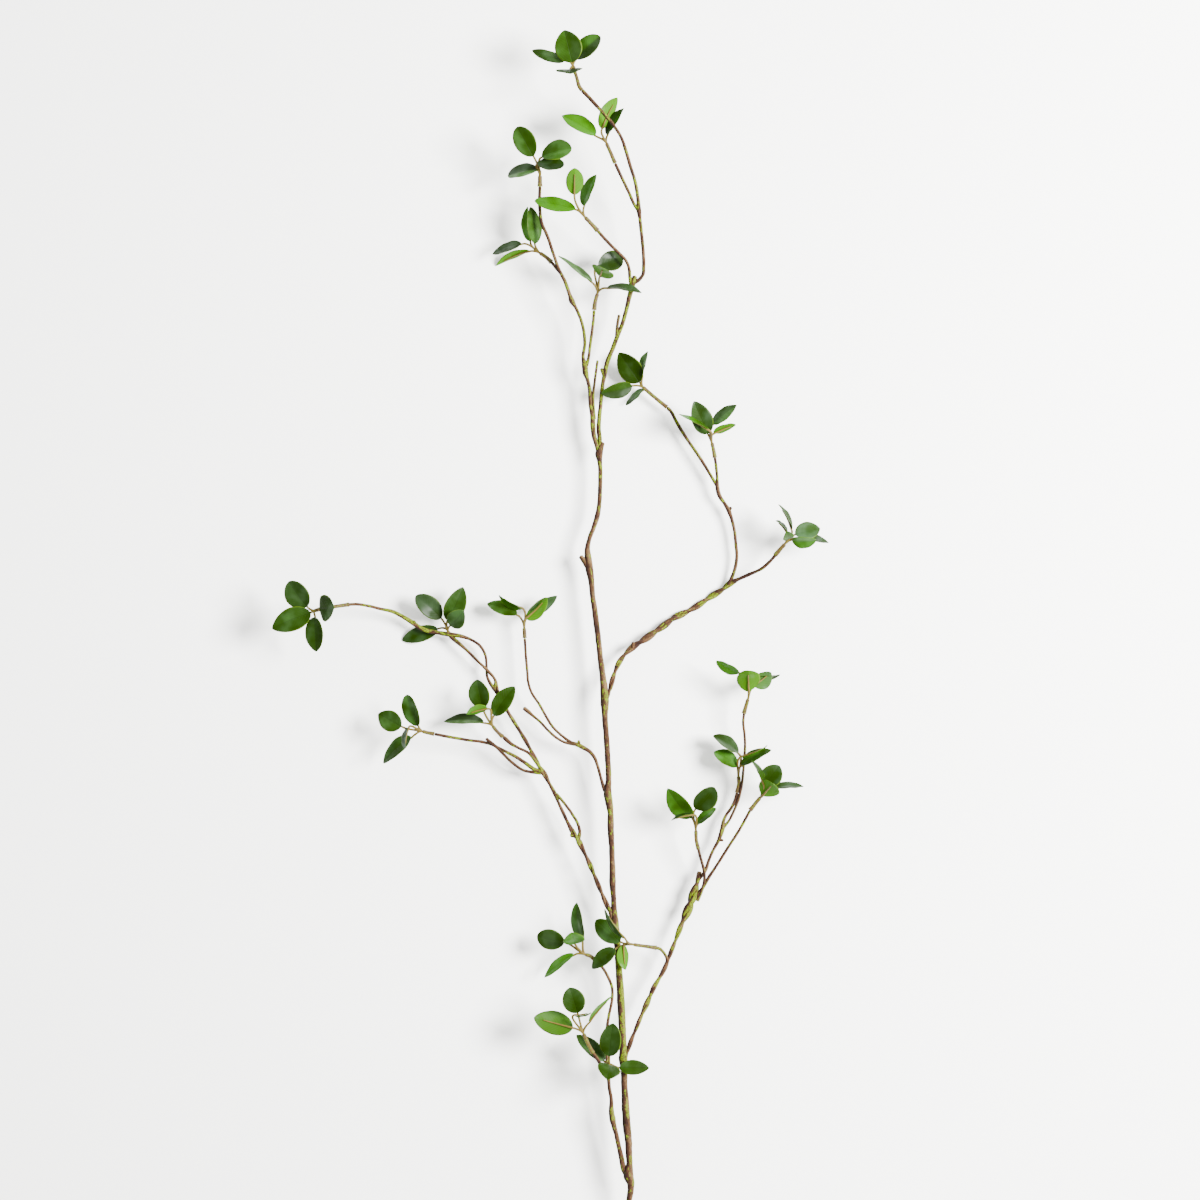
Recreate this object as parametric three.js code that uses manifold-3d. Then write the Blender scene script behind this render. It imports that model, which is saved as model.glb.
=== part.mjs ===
// Lemon leaf branch: a made branch with a bark-wrapped stem, seven side branches
// and 22 sprays of cloth leaves, lying on a flat surface.
// Millimetres, +Z up, +Y along the stem towards its top. The surface is z = 0 and
// the origin is in the middle of the outline.

import * as THREE from 'three';
import Module from 'manifold-3d';

const wasm = await Module();
wasm.setup();

// Driving dimensions
const SEAT_GAP = 0.3; // air between a stem and what is seated on it
const MAIN_SIDES = 6; // faces round the main stem
const TWIG_SIDES = 5; // faces round a side branch
const SLEEVE_SIDES = 5; // faces round a spray's sleeve
const PETIOLE_WIDTH = 1.2; // height of the leaf's stalk
const PETIOLE_ROOT = 2; // depth of its pointed root in the sleeve
const BLADE_THICKNESS = 0.7;
const BLADE_FOLD = 0.22; // rise of a blade's halves from its rib, per unit of width
const BLADE_ARCH = 0.055; // height of a blade's arch, as a share of its length
const BLADE_ROWS = [0, 0.2, 0.49, 0.8, 1]; // along the rib
const BLADE_SPREAD = [0.09, 0.84, 1, 0.62, 0.06]; // share of the full width there

// Every station is read looking straight down from this height over this point,
// so a raised one is drawn in towards it by its share of the height.
const VIEW_X = 40;
const VIEW_Y = 60;
const VIEW_HEIGHT = 2270;

const place = ([x, y, z]) => {
  const k = 1 - z / VIEW_HEIGHT;
  return new THREE.Vector3(VIEW_X + (x - VIEW_X) * k, VIEW_Y + (y - VIEW_Y) * k, z);
};

// Stems. A station is [x, y, z, radius]; knuckles are wider stations.
const mainStem = [
  [64, -508, 1.75, 2.1], [63.6, -501, 1.75, 2.1], [62.8, -484, 6, 2.1], [62.3, -464, 12, 2.1],
  [62.5, -440, 17.5, 2.1],
  [63.3, -420, 21.5, 2.1], [64.6, -411, 23, 2.4], [64.4, -406, 23.4, 3.1], [62.6, -401, 24, 4.1],
  [62.8, -396, 24.3, 3.4], [63.6, -391, 24.5, 2.3], [63.2, -384, 24.6, 2.4],
  [62.5, -371, 24.8, 2.8], [61, -355, 24.8, 3], [60.2, -341, 24.6, 2.8], [59.5, -328, 24.2, 2.4],
  [59.2, -316, 24, 2.5], [58.6, -307, 24, 3.4], [58.5, -299, 23.8, 2.6], [58, -287, 23.6, 2.6],
  [57.2, -270, 23, 2.9], [56.2, -251, 22.5, 2.8], [54.8, -232, 22, 2.6], [53.8, -214, 21.8, 2.5],
  [52, -197, 21.6, 2.8], [51, -184, 21.3, 2.1], [50.6, -175, 21.2, 2], [50, -165, 21, 2.6],
  [49.8, -151, 20.8, 2.1], [49.2, -136, 20.6, 2.2], [48.5, -121, 20.5, 2.5],
  [48.4, -110, 20.4, 2.1], [47.4, -103, 20.3, 2.8], [46.2, -94, 20.2, 3.1],
  [46.8, -84, 20.2, 2.1], [46.3, -68, 20.1, 2.1], [45, -48, 20, 2.1], [43.8, -31, 20, 2.2],
  [43.8, -22, 20, 3.3], [43, -10, 20, 2.8], [42, 0, 19.5, 2.3], [40, 16, 19, 2.1],
  [38, 35, 18.5, 2.1], [36, 50, 18, 2.1], [34, 64, 17.8, 2], [33, 75, 17.6, 2.2],
  [31.6, 84, 17.4, 3.1], [30.4, 93, 17.3, 2.8], [30, 102, 17.2, 1.8], [31.2, 108, 17.1, 1.6],
  [34.8, 118, 17, 1.7], [38, 128, 17, 1.9], [39.5, 138, 17, 1.6], [40.1, 152, 17, 1.6],
  [40.2, 166, 17, 1.6], [39.6, 172, 17, 2], [39.2, 177, 17, 3], [40.4, 181.5, 17, 2.2],
  [42.2, 186.5, 17, 1.7],
];
const mainStubs = [
  [[31, 86, 17.4, 2.4], [27.4, 91, 17.6, 1.9], [24, 95.5, 17.8, 1.5]],
];

const upperLeftBranch = [
  [[39, 177, 17, 1.4], [37.4, 183.5, 17.3, 1.5], [35.2, 191, 17.5, 1.7], [34.2, 200, 18, 1.9],
    [33.8, 208, 18.5, 1.7], [32.4, 217, 19, 1.5], [32.2, 224, 19.5, 1.4], [31.3, 231, 20, 1.3],
    [29.8, 237, 20.5, 1.3], [28.4, 242, 21.2, 2.2], [27.8, 248, 22, 2.1], [26.5, 254, 23, 1.1],
    [27.8, 264, 24.5, 1.1], [26.9, 276, 26, 1.1], [24, 286, 27, 1.1], [20, 295, 27.8, 1.2],
    [17.6, 299, 28, 2.1], [15.8, 304, 28.5, 1.3], [11.5, 316, 30, 1.2], [7.4, 324, 31, 1.1],
    [3, 336, 32.4, 1.1], [-1.6, 350, 33.6, 1.1], [-6.6, 362, 34.6, 1.1], [-8.2, 374, 35.4, 1.1],
    [-8.1, 391, 39, 1.1]],
  [[9.2, 320.5, 30.4, 1], [5, 325.5, 28.6, 1], [1, 330.5, 26, 1]],
  [[29.2, 247, 22, 1.3], [30.9, 254, 22.6, 1], [31.9, 262, 23, 1], [33.4, 273, 23.6, 1],
    [34.8, 285, 24.2, 1], [35.3, 292, 24.6, 1]],
  [[35.6, 204, 18.3, 1.1], [35, 213, 19.2, 0.9], [34.5, 223, 20.6, 0.9], [35.8, 235, 22, 0.9],
    [38.1, 252, 24, 0.8]],
];

const upperRightBranch = [
  [[40.2, 179, 17, 1.4], [39.8, 188, 17.4, 1.7], [39, 197, 17.8, 1.7], [39.3, 206, 18.2, 1.5],
    [40.5, 216, 18.8, 1.4], [41.2, 225, 19.3, 1.3], [42.2, 233, 19.8, 1.4], [43.8, 241, 20.3, 1.6],
    [45.2, 248, 20.8, 1.6], [48, 256, 21.5, 1.6], [50.9, 263, 22, 1.6], [53.9, 271, 22.6, 1.6],
    [57.6, 280, 23.3, 1.5], [60.8, 291, 24, 1.5], [62.6, 299, 24.8, 1.6], [64.6, 307, 25.5, 1.8],
    [66.4, 314, 26, 2.4], [68.2, 319.6, 26.6, 1.6]],
  [[43.4, 239, 20.2, 1.2], [41, 245.6, 20.8, 1.2]],
  [[53, 268, 22.4, 1.1], [53.6, 278, 24, 1], [55.3, 288.5, 26, 1]],
  [[65.2, 311, 26, 1.4], [63.9, 318, 26.8, 1.2], [63.4, 324, 27.8, 1.1], [61, 331, 29, 1.1],
    [56, 336.8, 31, 1.1], [50, 342.4, 33.4, 1.1], [44, 348.8, 36, 1.1], [38, 355.6, 38.5, 1.1]],
  [[67, 313.5, 26, 1.4], [71.6, 316.6, 26.6, 1.3], [74.4, 320.6, 27.2, 1.2], [75, 327, 28, 1.2],
    [74.6, 338, 29.6, 1.2], [73.2, 353, 31.6, 1.2], [71.8, 366, 33.4, 1.2], [71.2, 371, 34, 1.9],
    [70.4, 381, 35.6, 1.2], [68.2, 394, 38.4, 1.2], [64.6, 406, 41.6, 1.2], [60.8, 419, 44.8, 1.2],
    [57, 430, 47.4, 1.1], [50.6, 440, 49.4, 1.1], [41.6, 450.6, 50.4, 1.1],
    [33.4, 459.6, 50.4, 1.3], [25.4, 468, 50, 1.4]],
  [[71, 371.4, 34, 1.2], [68, 375.4, 34.4, 1.1], [63.4, 385.4, 35.4, 1.1],
    [57.4, 398, 36.6, 1.1], [52, 409.6, 37.6, 1.1]],
];

const rightBranch = [
  [[44, -20, 20, 2], [47.4, -13, 19.4, 1.8], [50.2, -3, 18, 1.8], [54.2, 8, 16, 1.9],
    [59.6, 16, 13.8, 1.9], [66.4, 22.4, 11.6, 2.4], [75, 28, 9.4, 2.6], [84, 34.4, 7.4, 2.7],
    [92, 40, 5.6, 2.5], [99, 45.4, 4, 2.7], [107, 49.4, 2.5, 2.4], [115, 53.4, 1.7, 2.2],
    [122, 58, 1.7, 2.2], [130, 63.4, 2.4, 2.3], [138, 68.4, 4, 2.3], [144.4, 73.4, 5.6, 2.2],
    [151, 76.8, 8, 1.4], [160, 80.8, 11.6, 1.3], [170, 85.6, 16.2, 1.2], [176, 91, 19.6, 1.2],
    [180.4, 96, 22.6, 1.2]],
  [[65.6, 21.6, 12, 1.5], [66.8, 26.6, 13.4, 1.1]],
  [[142.6, 71.6, 5.4, 1.5], [145.4, 78, 6.6, 1.3], [148.2, 86, 7.6, 1.2], [149.4, 93.6, 8, 1.1],
    [148.8, 104, 8.6, 1.1], [147.2, 117, 9.2, 1.1], [144.8, 126.6, 9.6, 1.2],
    [142.8, 131.8, 9.8, 1.8], [139.4, 137.6, 10, 1.2], [135.6, 143.4, 10.6, 1.5],
    [133.8, 150.6, 11.4, 1.5], [133.7, 157, 12.4, 1], [133, 166, 14, 1], [131.9, 174, 15.4, 1]],
  [[142.8, 131, 9.8, 1.3], [145.2, 134.6, 10.4, 1]],
  [[133.7, 151, 11.4, 1.1], [128.6, 159.6, 11.2, 1.1], [123.6, 168, 11, 1.1],
    [118.6, 175.8, 10.8, 1.1], [112.6, 184.4, 10.6, 1.1], [106.6, 193.4, 10.4, 1.2],
    [100.8, 203.4, 10.2, 1.2], [96.4, 211.4, 10, 1.1], [93.6, 214.2, 9.9, 1.2]],
];

const smallLeftBranch = [
  [[45.6, -96, 20.2, 1.5], [42.8, -89.6, 19.8, 1.4], [40.6, -82, 19.4, 1.1],
    [38, -72.6, 19, 1.1], [35, -65, 18.7, 1.2], [31, -60.6, 18.4, 1.3], [27, -58.4, 18.2, 1.5],
    [22.6, -56, 18, 1.6], [17.4, -54.2, 18, 1.2], [10.6, -49.4, 17.8, 0.9],
    [2.6, -42, 17.4, 0.9], [-2.4, -34.4, 17, 0.9], [-8.6, -23.4, 16.6, 0.9],
    [-14.6, -14.4, 16, 0.9], [-17.4, -6, 15.6, 0.9], [-18.2, 3, 15.2, 0.9],
    [-19.2, 14, 15, 0.9], [-20.2, 29.6, 14.8, 0.9]],
  [[23.6, -56.6, 18, 1.1], [22.8, -52, 19, 0.8]],
  [[20, -55.6, 18, 1.1], [12.6, -54.2, 18.4, 0.9], [6, -50.8, 18.8, 0.9],
    [-1.6, -44.2, 19.2, 0.9], [-8.6, -36.8, 19.6, 0.9], [-14.6, -31.8, 19.8, 1],
    [-17, -29.6, 20, 1.4], [-21.4, -26, 20.2, 1.3]],
];

const leftBranch = [
  [[51.4, -197, 21.4, 2.2], [48.6, -190.4, 21.2, 2.2], [45, -183, 20.9, 1.8],
    [40.6, -172.6, 20.4, 1.7], [36, -161.6, 20, 1.7], [31.6, -151, 19.5, 1.8],
    [28, -143.4, 19.2, 1.4], [25.4, -138, 19, 1.7], [23, -133, 18.9, 2.4],
    [19.4, -127.4, 18.8, 2], [15.4, -120.4, 18.4, 1.4], [11.4, -112, 18, 1.3],
    [7.2, -103, 17.7, 1.1], [3.6, -94.4, 17.4, 1.4], [-0.8, -86.4, 17.2, 1.4],
    [-4.6, -79, 17, 1.9], [-8.4, -73, 16.6, 1.8], [-13.6, -63.4, 16.2, 1.4],
    [-20.2, -51.4, 15.6, 1.4], [-27.4, -39.6, 15, 1.3], [-34.4, -28.4, 14.4, 1.4],
    [-40.4, -17.4, 13.8, 1.5], [-43.2, -11.4, 13.4, 2.1], [-43.6, -5, 13, 1.2],
    [-50.4, 4, 12.4, 1], [-58, 11.2, 11.4, 1], [-66, 19.2, 10.6, 1.1],
    [-73.6, 26, 10, 1.3], [-80.4, 31.4, 9.8, 1.8]],
  [[20.4, -128.4, 18.8, 1.7], [15.8, -128, 18.8, 1.4]],
  [[22.6, -131.6, 18.9, 1.7], [23.8, -126, 19, 1.1], [22.4, -119.4, 18.8, 1],
    [17.6, -111, 18.4, 1], [11, -102, 18, 1], [4.6, -94.6, 17.6, 1.1]],
  [[-43, -13, 13.4, 1.4], [-47.2, -7.6, 12.8, 1.2], [-50.2, -1.4, 10.2, 0.9],
    [-50.8, 7.6, 9, 0.9], [-51.6, 15.4, 9, 0.9], [-56, 23.4, 9.2, 1], [-63, 28.2, 9.4, 1],
    [-71, 31, 9.8, 1.4], [-80, 32.4, 10, 1.8], [-89, 33.8, 10, 1.5], [-98, 35.2, 10, 1.5],
    [-104.4, 38, 10.4, 1.7], [-111, 42.6, 11, 1.6], [-118.6, 47.2, 12.6, 1.3],
    [-126, 50.8, 15, 1.4], [-135, 52.8, 18.6, 1], [-146, 55.4, 24, 1], [-154, 56.6, 28, 1],
    [-161, 56.4, 31.2, 1]],
  [[-107, 39.6, 10.6, 1.2], [-109.4, 43.6, 12.4, 1]],
  [[-6, -77, 17, 1.5], [-11.4, -69.4, 18.2, 1], [-17.4, -62.2, 19.2, 1], [-25, -58.4, 19.8, 1],
    [-31, -55, 20.2, 1.2], [-36, -50.8, 20.4, 1.5], [-37.8, -49.4, 20.5, 1.1]],
  [[-5.6, -78, 17, 1.7], [-12.6, -75.4, 17.4, 1.5], [-20, -70.2, 18, 1.3],
    [-27.4, -65.4, 18.8, 1.2], [-34, -62, 19.6, 1.1], [-41, -58.4, 20.6, 1],
    [-47, -55.4, 21.4, 1], [-54, -53.6, 22.2, 1], [-66, -52, 23.4, 1], [-80, -49.6, 24.8, 1],
    [-92.6, -47.2, 26, 1]],
  [[-6.4, -78.4, 17, 1.3], [-15, -77.6, 16.8, 1.1], [-21.4, -76.2, 16.8, 1],
    [-28.6, -71.4, 17.2, 1], [-35.6, -65, 18.6, 1], [-42.4, -58, 22.4, 1.1],
    [-51.4, -50.6, 25, 1.1]],
];

const lowerRightBranch = [
  [[58.8, -309, 24, 1.7], [62, -301, 23.4, 1.8], [65.4, -291, 22.4, 1.6],
    [69.8, -280.4, 21.4, 1.5], [74, -270.4, 20.6, 1.6], [77.6, -262.6, 20, 2],
    [79.8, -257.4, 19.6, 2.1], [83, -250, 19, 1.8], [87.4, -242.6, 18.4, 1.6],
    [91.6, -235, 17.8, 1.6], [94.4, -228, 17.2, 1.7], [98, -218.4, 16.4, 1.6],
    [101.6, -209, 15.6, 1.8], [105.2, -199.6, 15, 2.1], [108.6, -192, 14.6, 2.9],
    [111.4, -185.4, 14.4, 3.7], [114, -178, 14.2, 3.5], [116.4, -170.6, 14.2, 2.9],
    [118.4, -163.6, 14.2, 1.9], [119.6, -157, 14.2, 1.5]],
  [[94, -230.6, 17.4, 1.3], [93, -225.6, 20, 1], [90.4, -221.4, 22.6, 1],
    [87.8, -219, 24, 1], [85, -218.2, 24.8, 1]],
  [[117.4, -181, 14.6, 1.6], [120.6, -174.4, 15.6, 1.2], [123, -167, 17, 1],
    [123.6, -160.6, 18.4, 1], [122.6, -154, 19.8, 1], [120.4, -146, 21.6, 1],
    [118.6, -139, 23.2, 1]],
  [[115.6, -172, 15.6, 1.5], [119, -163.6, 15, 1.3], [122.4, -159.4, 13.6, 1.1],
    [124.6, -155.6, 13, 1.3], [127, -148.4, 12.6, 1], [130.6, -140, 12.4, 1],
    [134.4, -133, 12.2, 1.2], [136.4, -128, 12.2, 1.6], [138.2, -121.6, 12.2, 1.8],
    [138.8, -116.6, 12.2, 1.2], [141, -111.8, 12.2, 1], [144.8, -106.6, 12.2, 1.1],
    [148.2, -100, 12.2, 1.2], [149.8, -94, 12.2, 1.1]],
  [[135, -131.6, 12.2, 1.2], [139, -132.4, 12.4, 0.8]],
  [[138.2, -122.6, 12.2, 1.2], [143.2, -116.4, 13, 0.9], [147.4, -108, 13.6, 0.9],
    [150.6, -100, 14, 0.9], [153, -90, 14.2, 0.9], [154.4, -79, 14.4, 0.9],
    [155.2, -69, 14.6, 0.9], [156, -58, 15.6, 0.9], [155.6, -47, 17.6, 0.9],
    [154.6, -38, 19.6, 0.9], [155.2, -30.6, 21.4, 0.9]],
  [[117.6, -177, 14.4, 1.7], [122.4, -170, 15.4, 1.2], [126.6, -162.6, 16.4, 1.3],
    [131.6, -155, 17.4, 1], [138.6, -144, 18.8, 1], [145.6, -133, 20, 1],
    [152, -123, 21.4, 1], [156.4, -115, 22.4, 1], [160.2, -108, 23.2, 1]],
];

const lowerLeftBranch = [
  [[62, -402, 24, 1.9], [58.8, -395, 24, 2], [57.2, -386, 24.2, 1.9], [55.2, -378, 24.5, 1.7],
    [53, -367.6, 25, 1.6], [51.2, -360.6, 25.3, 1.8], [50, -355, 25.6, 2.4],
    [49, -347, 26, 1.8], [49, -339.6, 26.6, 1.3], [47.4, -330, 27.4, 1.3],
    [46.6, -320, 28, 1.5], [45.6, -310, 28, 1.1], [45, -298, 27.8, 1], [45.4, -285, 27.6, 1],
    [47, -273, 27.2, 1], [49.6, -259.6, 27, 1], [49.6, -250, 26.6, 1], [46.4, -241.6, 26, 1],
    [41.6, -233.6, 25.4, 1], [36, -228, 24.8, 1]],
  [[46.8, -321, 28, 1.3], [42.2, -314, 32.4, 1.1], [37.6, -307, 36.6, 1.2],
    [34, -302, 39.6, 1.1]],
  [[46.6, -319, 28.4, 1.2], [47.2, -315.6, 30.6, 1.1]],
];

// Sprays. The sleeve's stations end at the hub. A leaf is the ends of its rib,
// [x, y, z] and [x, y, z], its full width, the roll of its blade about the rib in
// degrees, 0 lying face up and 180 face down, and where the blade is flatter or more
// bent than most, its share of the common fold and arch.
const sprays = [
  { sleeve: [[25.4, 468, 50, 1.3], [23.6, 470.4, 50, 1.3], [21.6, 477, 50, 1.1],
      [18.4, 487.5, 50, 1.2]],
    leaves: [
      [17.8, 490, 50.6, 11.4, 516, 54, 21.5, -8], [12.5, 492, 50.4, -14.5, 499.6, 46, 11, -50, 0.2],
      [20.5, 493, 50.6, 40.3, 511, 56, 17, -25], [15.6, 484.6, 54, 16, 481, 76, 21, 0, 0.5]] },
  { sleeve: [[52, 409.6, 37.6, 1.4], [48.6, 417.6, 38, 1.2], [45, 426, 38, 1.1]],
    leaves: [
      [36.6, 432, 38, 9.5, 447.5, 34, 17, 36], [41, 437, 39.6, 54, 462, 43, 13.5, -140],
      [45.3, 432.2, 38, 59, 453.5, 40, 12, -45]] },
  { sleeve: [[-8.1, 391, 39, 1.6], [-8.1, 396, 40.6, 1.4], [-8, 400, 42.4, 1.3]],
    leaves: [
      [-13.4, 415, 47, -26.5, 438.5, 50, 17, -14], [-6.6, 415, 49, 17.5, 421.6, 52, 20, -34],
      [-10, 409.4, 49, 11.4, 408, 52, 14, -32, 0.6], [-9, 404.6, 45, -33.8, 399, 41, 17, 46]] },
  { sleeve: [[38, 355.6, 38.5, 1.5], [33.4, 360.6, 40.6, 1.2], [27.8, 366.5, 43, 1.2]],
    leaves: [
      [19.5, 384, 46, 19.6, 405.6, 54, 14, 180], [20.4, 373, 45, -12.4, 379.6, 41, 14, 30, 0.4],
      [26.6, 375.4, 46, 37, 400.4, 49, 14, -48]] },
  { sleeve: [[1, 330.5, 26, 1.6], [-3.4, 334.4, 24, 1.3], [-8.3, 337.7, 22, 1.2]],
    leaves: [
      [-11.6, 345, 23.6, -15.6, 374.6, 31, 14, 36, 0.6], [-16.6, 347, 22, -18, 374.6, 26, 12, -50],
      [-23, 345.4, 22, -46, 336.6, 17, 12, 46, 0.5], [-16.6, 339.7, 20, -43.2, 327.3, 0.5, 9.5, 120]] },
  { sleeve: [[35.3, 292, 24.6, 1.5], [36.2, 298.6, 25, 1.3], [38, 305.5, 25.6, 1.2]],
    leaves: [
      [34, 315, 29, 6.6, 335.4, 32, 14, 66, 0.3], [40, 318.6, 33, 42.4, 325.6, 54, 19, 180, 0.5],
      [38.6, 327.4, 27, 58, 333.6, 19, 16, 0], [46, 310.4, 32, 73.4, 305.6, 34, 13, -58]] },
  { sleeve: [[93.6, 214.2, 9.9, 1.4], [84, 222, 9.9, 1.2], [74, 230.5, 10, 1.2]],
    leaves: [
      [71.6, 234, 11, 55, 258, 13, 19, -16], [73, 238, 12, 78.5, 259, 18, 12, -62],
      [65.6, 231, 12, 40.6, 225.2, 25, 13, -22, 0.5], [74.6, 229, 9.4, 60.6, 215.8, 3.6, 10, 56, 0.3]] },
  { sleeve: [[131.9, 174, 15.4, 1.4], [130.8, 180, 16.8, 1.2], [129.4, 186, 18.4, 1.2]],
    leaves: [
      [126.4, 193, 21, 115, 219, 31, 17, 10], [130, 201, 23, 149.5, 216, 29, 13, -42, 0.5],
      [127, 197, 32, 103, 208.5, 38, 10, 68, 0.5], [130.6, 193.6, 24, 148.6, 200.4, 27, 9.5, -128, 0.5]] },
  { sleeve: [[180.4, 96, 22.6, 1.5], [184, 100.4, 25.2, 1.3], [188, 105, 28, 1.2]],
    leaves: [
      [194, 117, 33, 182.6, 136.4, 38, 13, 74], [190, 115, 34, 180.6, 123.6, 37, 10, 74],
      [190.6, 108.6, 32, 189.6, 115, 49, 9, 0], [196, 112.6, 33, 216, 117.4, 27, 15, -22],
      [193.6, 107.4, 31, 213, 108, 35, 13, 46], [200, 110.4, 28, 223, 105.6, 25, 11, -58]] },
  { sleeve: [[-161, 56.4, 31.2, 1.3], [-174, 54.4, 36, 1.1], [-189, 51.4, 40, 1.2]],
    leaves: [
      [-194.5, 54.4, 40.6, -209, 75, 43, 20, -18], [-191.4, 50, 40, -222.4, 37, 38, 18.5, 0],
      [-188.4, 46.4, 40, -187, 18.6, 37, 16, 22], [-184.4, 53.6, 41.6, -172.6, 54.2, 60, 21, 0, 0.6]] },
  { sleeve: [[-81.1, 33.6, 12.1, 1.3], [-81.8, 35.4, 12.8, 1.2]],
    leaves: [
      [-87, 45.4, 14, -107.4, 63.6, 17, 16, 10], [-82, 43.4, 14, -69.6, 70.4, 19, 16.5, 14],
      [-80, 39.6, 17, -68.8, 51.4, 27, 15, 0], [-89.6, 37, 5, -118.4, 27.8, 0.3, 12.5, 0]] },
  { sleeve: [[-20.2, 29.6, 14.8, 1.3], [-20.6, 38, 15.4, 1.1]],
    leaves: [
      [-26.4, 48.6, 17, -50.4, 57, 14, 14, 36], [-22.6, 52.6, 20, -41, 64, 24, 11, -64],
      [-19, 44.6, 20, -2.4, 62, 23, 15, 138], [-16, 49, 16, 5.8, 63.4, 18, 10, 20, 0.5]] },
  { sleeve: [[-37.8, -49.4, 20.5, 1.4], [-41.4, -46.2, 21, 1.1], [-46, -40.6, 21.6, 1.1]],
    leaves: [
      [-54, -26.4, 24, -58.4, -3.6, 27, 17.5, -18], [-45, -32.4, 23.6, -28.2, -9.2, 24, 15, -12],
      [-53, -37.6, 21.6, -85, -37.4, 15, 14, 56], [-50, -26.4, 27, -67, -31.4, 28, 11, 132]] },
  { sleeve: [[-92.6, -47.2, 26, 1.3], [-97.6, -46.2, 26.4, 1.1], [-102.5, -45, 27, 1.1]],
    leaves: [
      [-119, -41.4, 28, -137.4, -31, 26, 17, -12], [-106, -41, 28, -114.4, -15.6, 32, 15, -32],
      [-111, -49.4, 27, -133.4, -70.6, 19, 15, 42], [-114, -42, 31, -116, -59, 36, 12, 68]] },
  { sleeve: [[155.2, -30.6, 21.4, 1.5], [156.8, -24.6, 23, 1.2], [158.5, -19, 24.6, 1.2]],
    leaves: [
      [151, 1, 30, 133, 11.4, 35, 13, -52, 0.6], [159, -13.4, 28, 158.6, 3.6, 46, 18.5, 180],
      [163, -9, 27, 177, 2, 25, 14, 160], [167, -1.4, 22, 184, 0.2, 21, 10, 66]] },
  { sleeve: [[149.8, -94, 12.2, 1.5], [151, -87.5, 12.6, 1.3], [150.7, -80.6, 13, 1.2]],
    leaves: [
      [151, -62, 17, 130.4, -48.6, 20, 14, 48], [150, -73, 15.6, 131, -61.6, 15, 15, 40],
      [153, -72, 19.4, 177, -60, 22, 13, -52], [153.6, -66, 20, 174, -56, 24, 10, 74]] },
  { sleeve: [[160.2, -108, 23.2, 1.5], [164.4, -102.6, 24.4, 1.3], [168.5, -97.6, 25.6, 1.2]],
    leaves: [
      [170.4, -84, 36, 161, -68.4, 33, 11, 66], [171.6, -88, 29, 183.6, -72.4, 31, 17, 0],
      [170, -96.6, 28, 178.6, -87, 45, 17.5, 180], [180, -90, 28, 203, -89.4, 27, 11, -64]] },
  { sleeve: [[118.6, -139, 23.2, 1.3], [117, -131.6, 25, 1.1], [116.7, -124, 27, 1.1]],
    leaves: [
      [113, -114.4, 30, 94, -90.6, 36, 17, -22], [116.6, -107.6, 33, 131.6, -89.8, 39, 18, 18],
      [117.6, -119, 29, 133, -106.6, 31, 10.5, -50], [113.6, -111, 36, 97, -116.5, 40, 8, 80]] },
  { sleeve: [[36, -228, 24.8, 1.4], [32.4, -225, 24.6, 1.2], [28, -223.5, 24.6, 1.2]],
    leaves: [
      [25.4, -213, 26, 21.4, -182, 32, 14, -44, 0.7], [11.6, -214, 24, -10.4, -208.6, 20, 16, 0],
      [19.6, -215, 30, 17.6, -206, 48, 17, 0, 0.6], [19, -223.4, 24, -4.4, -242, 13, 11.8, 56]] },
  { sleeve: [[85, -218.2, 24.8, 1.4], [76.6, -217, 27.6, 1.1], [66.5, -215.6, 30, 1.1]],
    leaves: [
      [56, -213.4, 31, 36.6, -196, 30, 16.5, -12], [59, -211, 41, 43.8, -187, 44, 11, -66],
      [52, -219, 30, 33.6, -235, 31, 13, 30], [58.4, -216, 31, 60.4, -236, 30, 11, 150]] },
  { sleeve: [[34, -302, 39.6, 1.4], [30.4, -295, 42.8, 1.2], [26.7, -286.6, 45, 1.2]],
    leaves: [
      [22, -270.4, 49, 15.6, -250, 54, 17.5, 0], [18.4, -282.4, 46, -13, -274, 45, 18.5, 192],
      [31, -277, 47, 50, -257, 47, 12, -110, 0.6], [20, -273, 55, 33, -270, 58, 9, 78]] },
  { sleeve: [[47.2, -315.6, 30.6, 1.3], [47.5, -311.4, 33.4, 1.2]],
    leaves: [
      [47.4, -305, 37, 50.4, -278.6, 43, 17, 0], [43.6, -308.6, 31.4, 21, -288, 25, 13, 34],
      [48, -312, 37, 45.6, -323.6, 58, 18.5, 0], [55.4, -314, 35.6, 79.4, -314.4, 34, 12, -20, 0.7]] },
];

// Shapes
const surface = (points, triangles) => {
  const geometry = new THREE.BufferGeometry();
  const flat = points.flatMap((p) => [p.x, p.y, Math.max(p.z, 0)]); // pressed on the surface
  geometry.setAttribute('position', new THREE.Float32BufferAttribute(flat, 3));
  geometry.setIndex(triangles);
  return geometry;
};

const toSolid = (geometry) => new wasm.Manifold(new wasm.Mesh({
  numProp: 3,
  vertProperties: new Float32Array(geometry.getAttribute('position').array),
  triVerts: new Uint32Array(geometry.getIndex().array),
}));

const join = (solids) => solids.reduce((all, solid) => all.add(solid));

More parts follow.
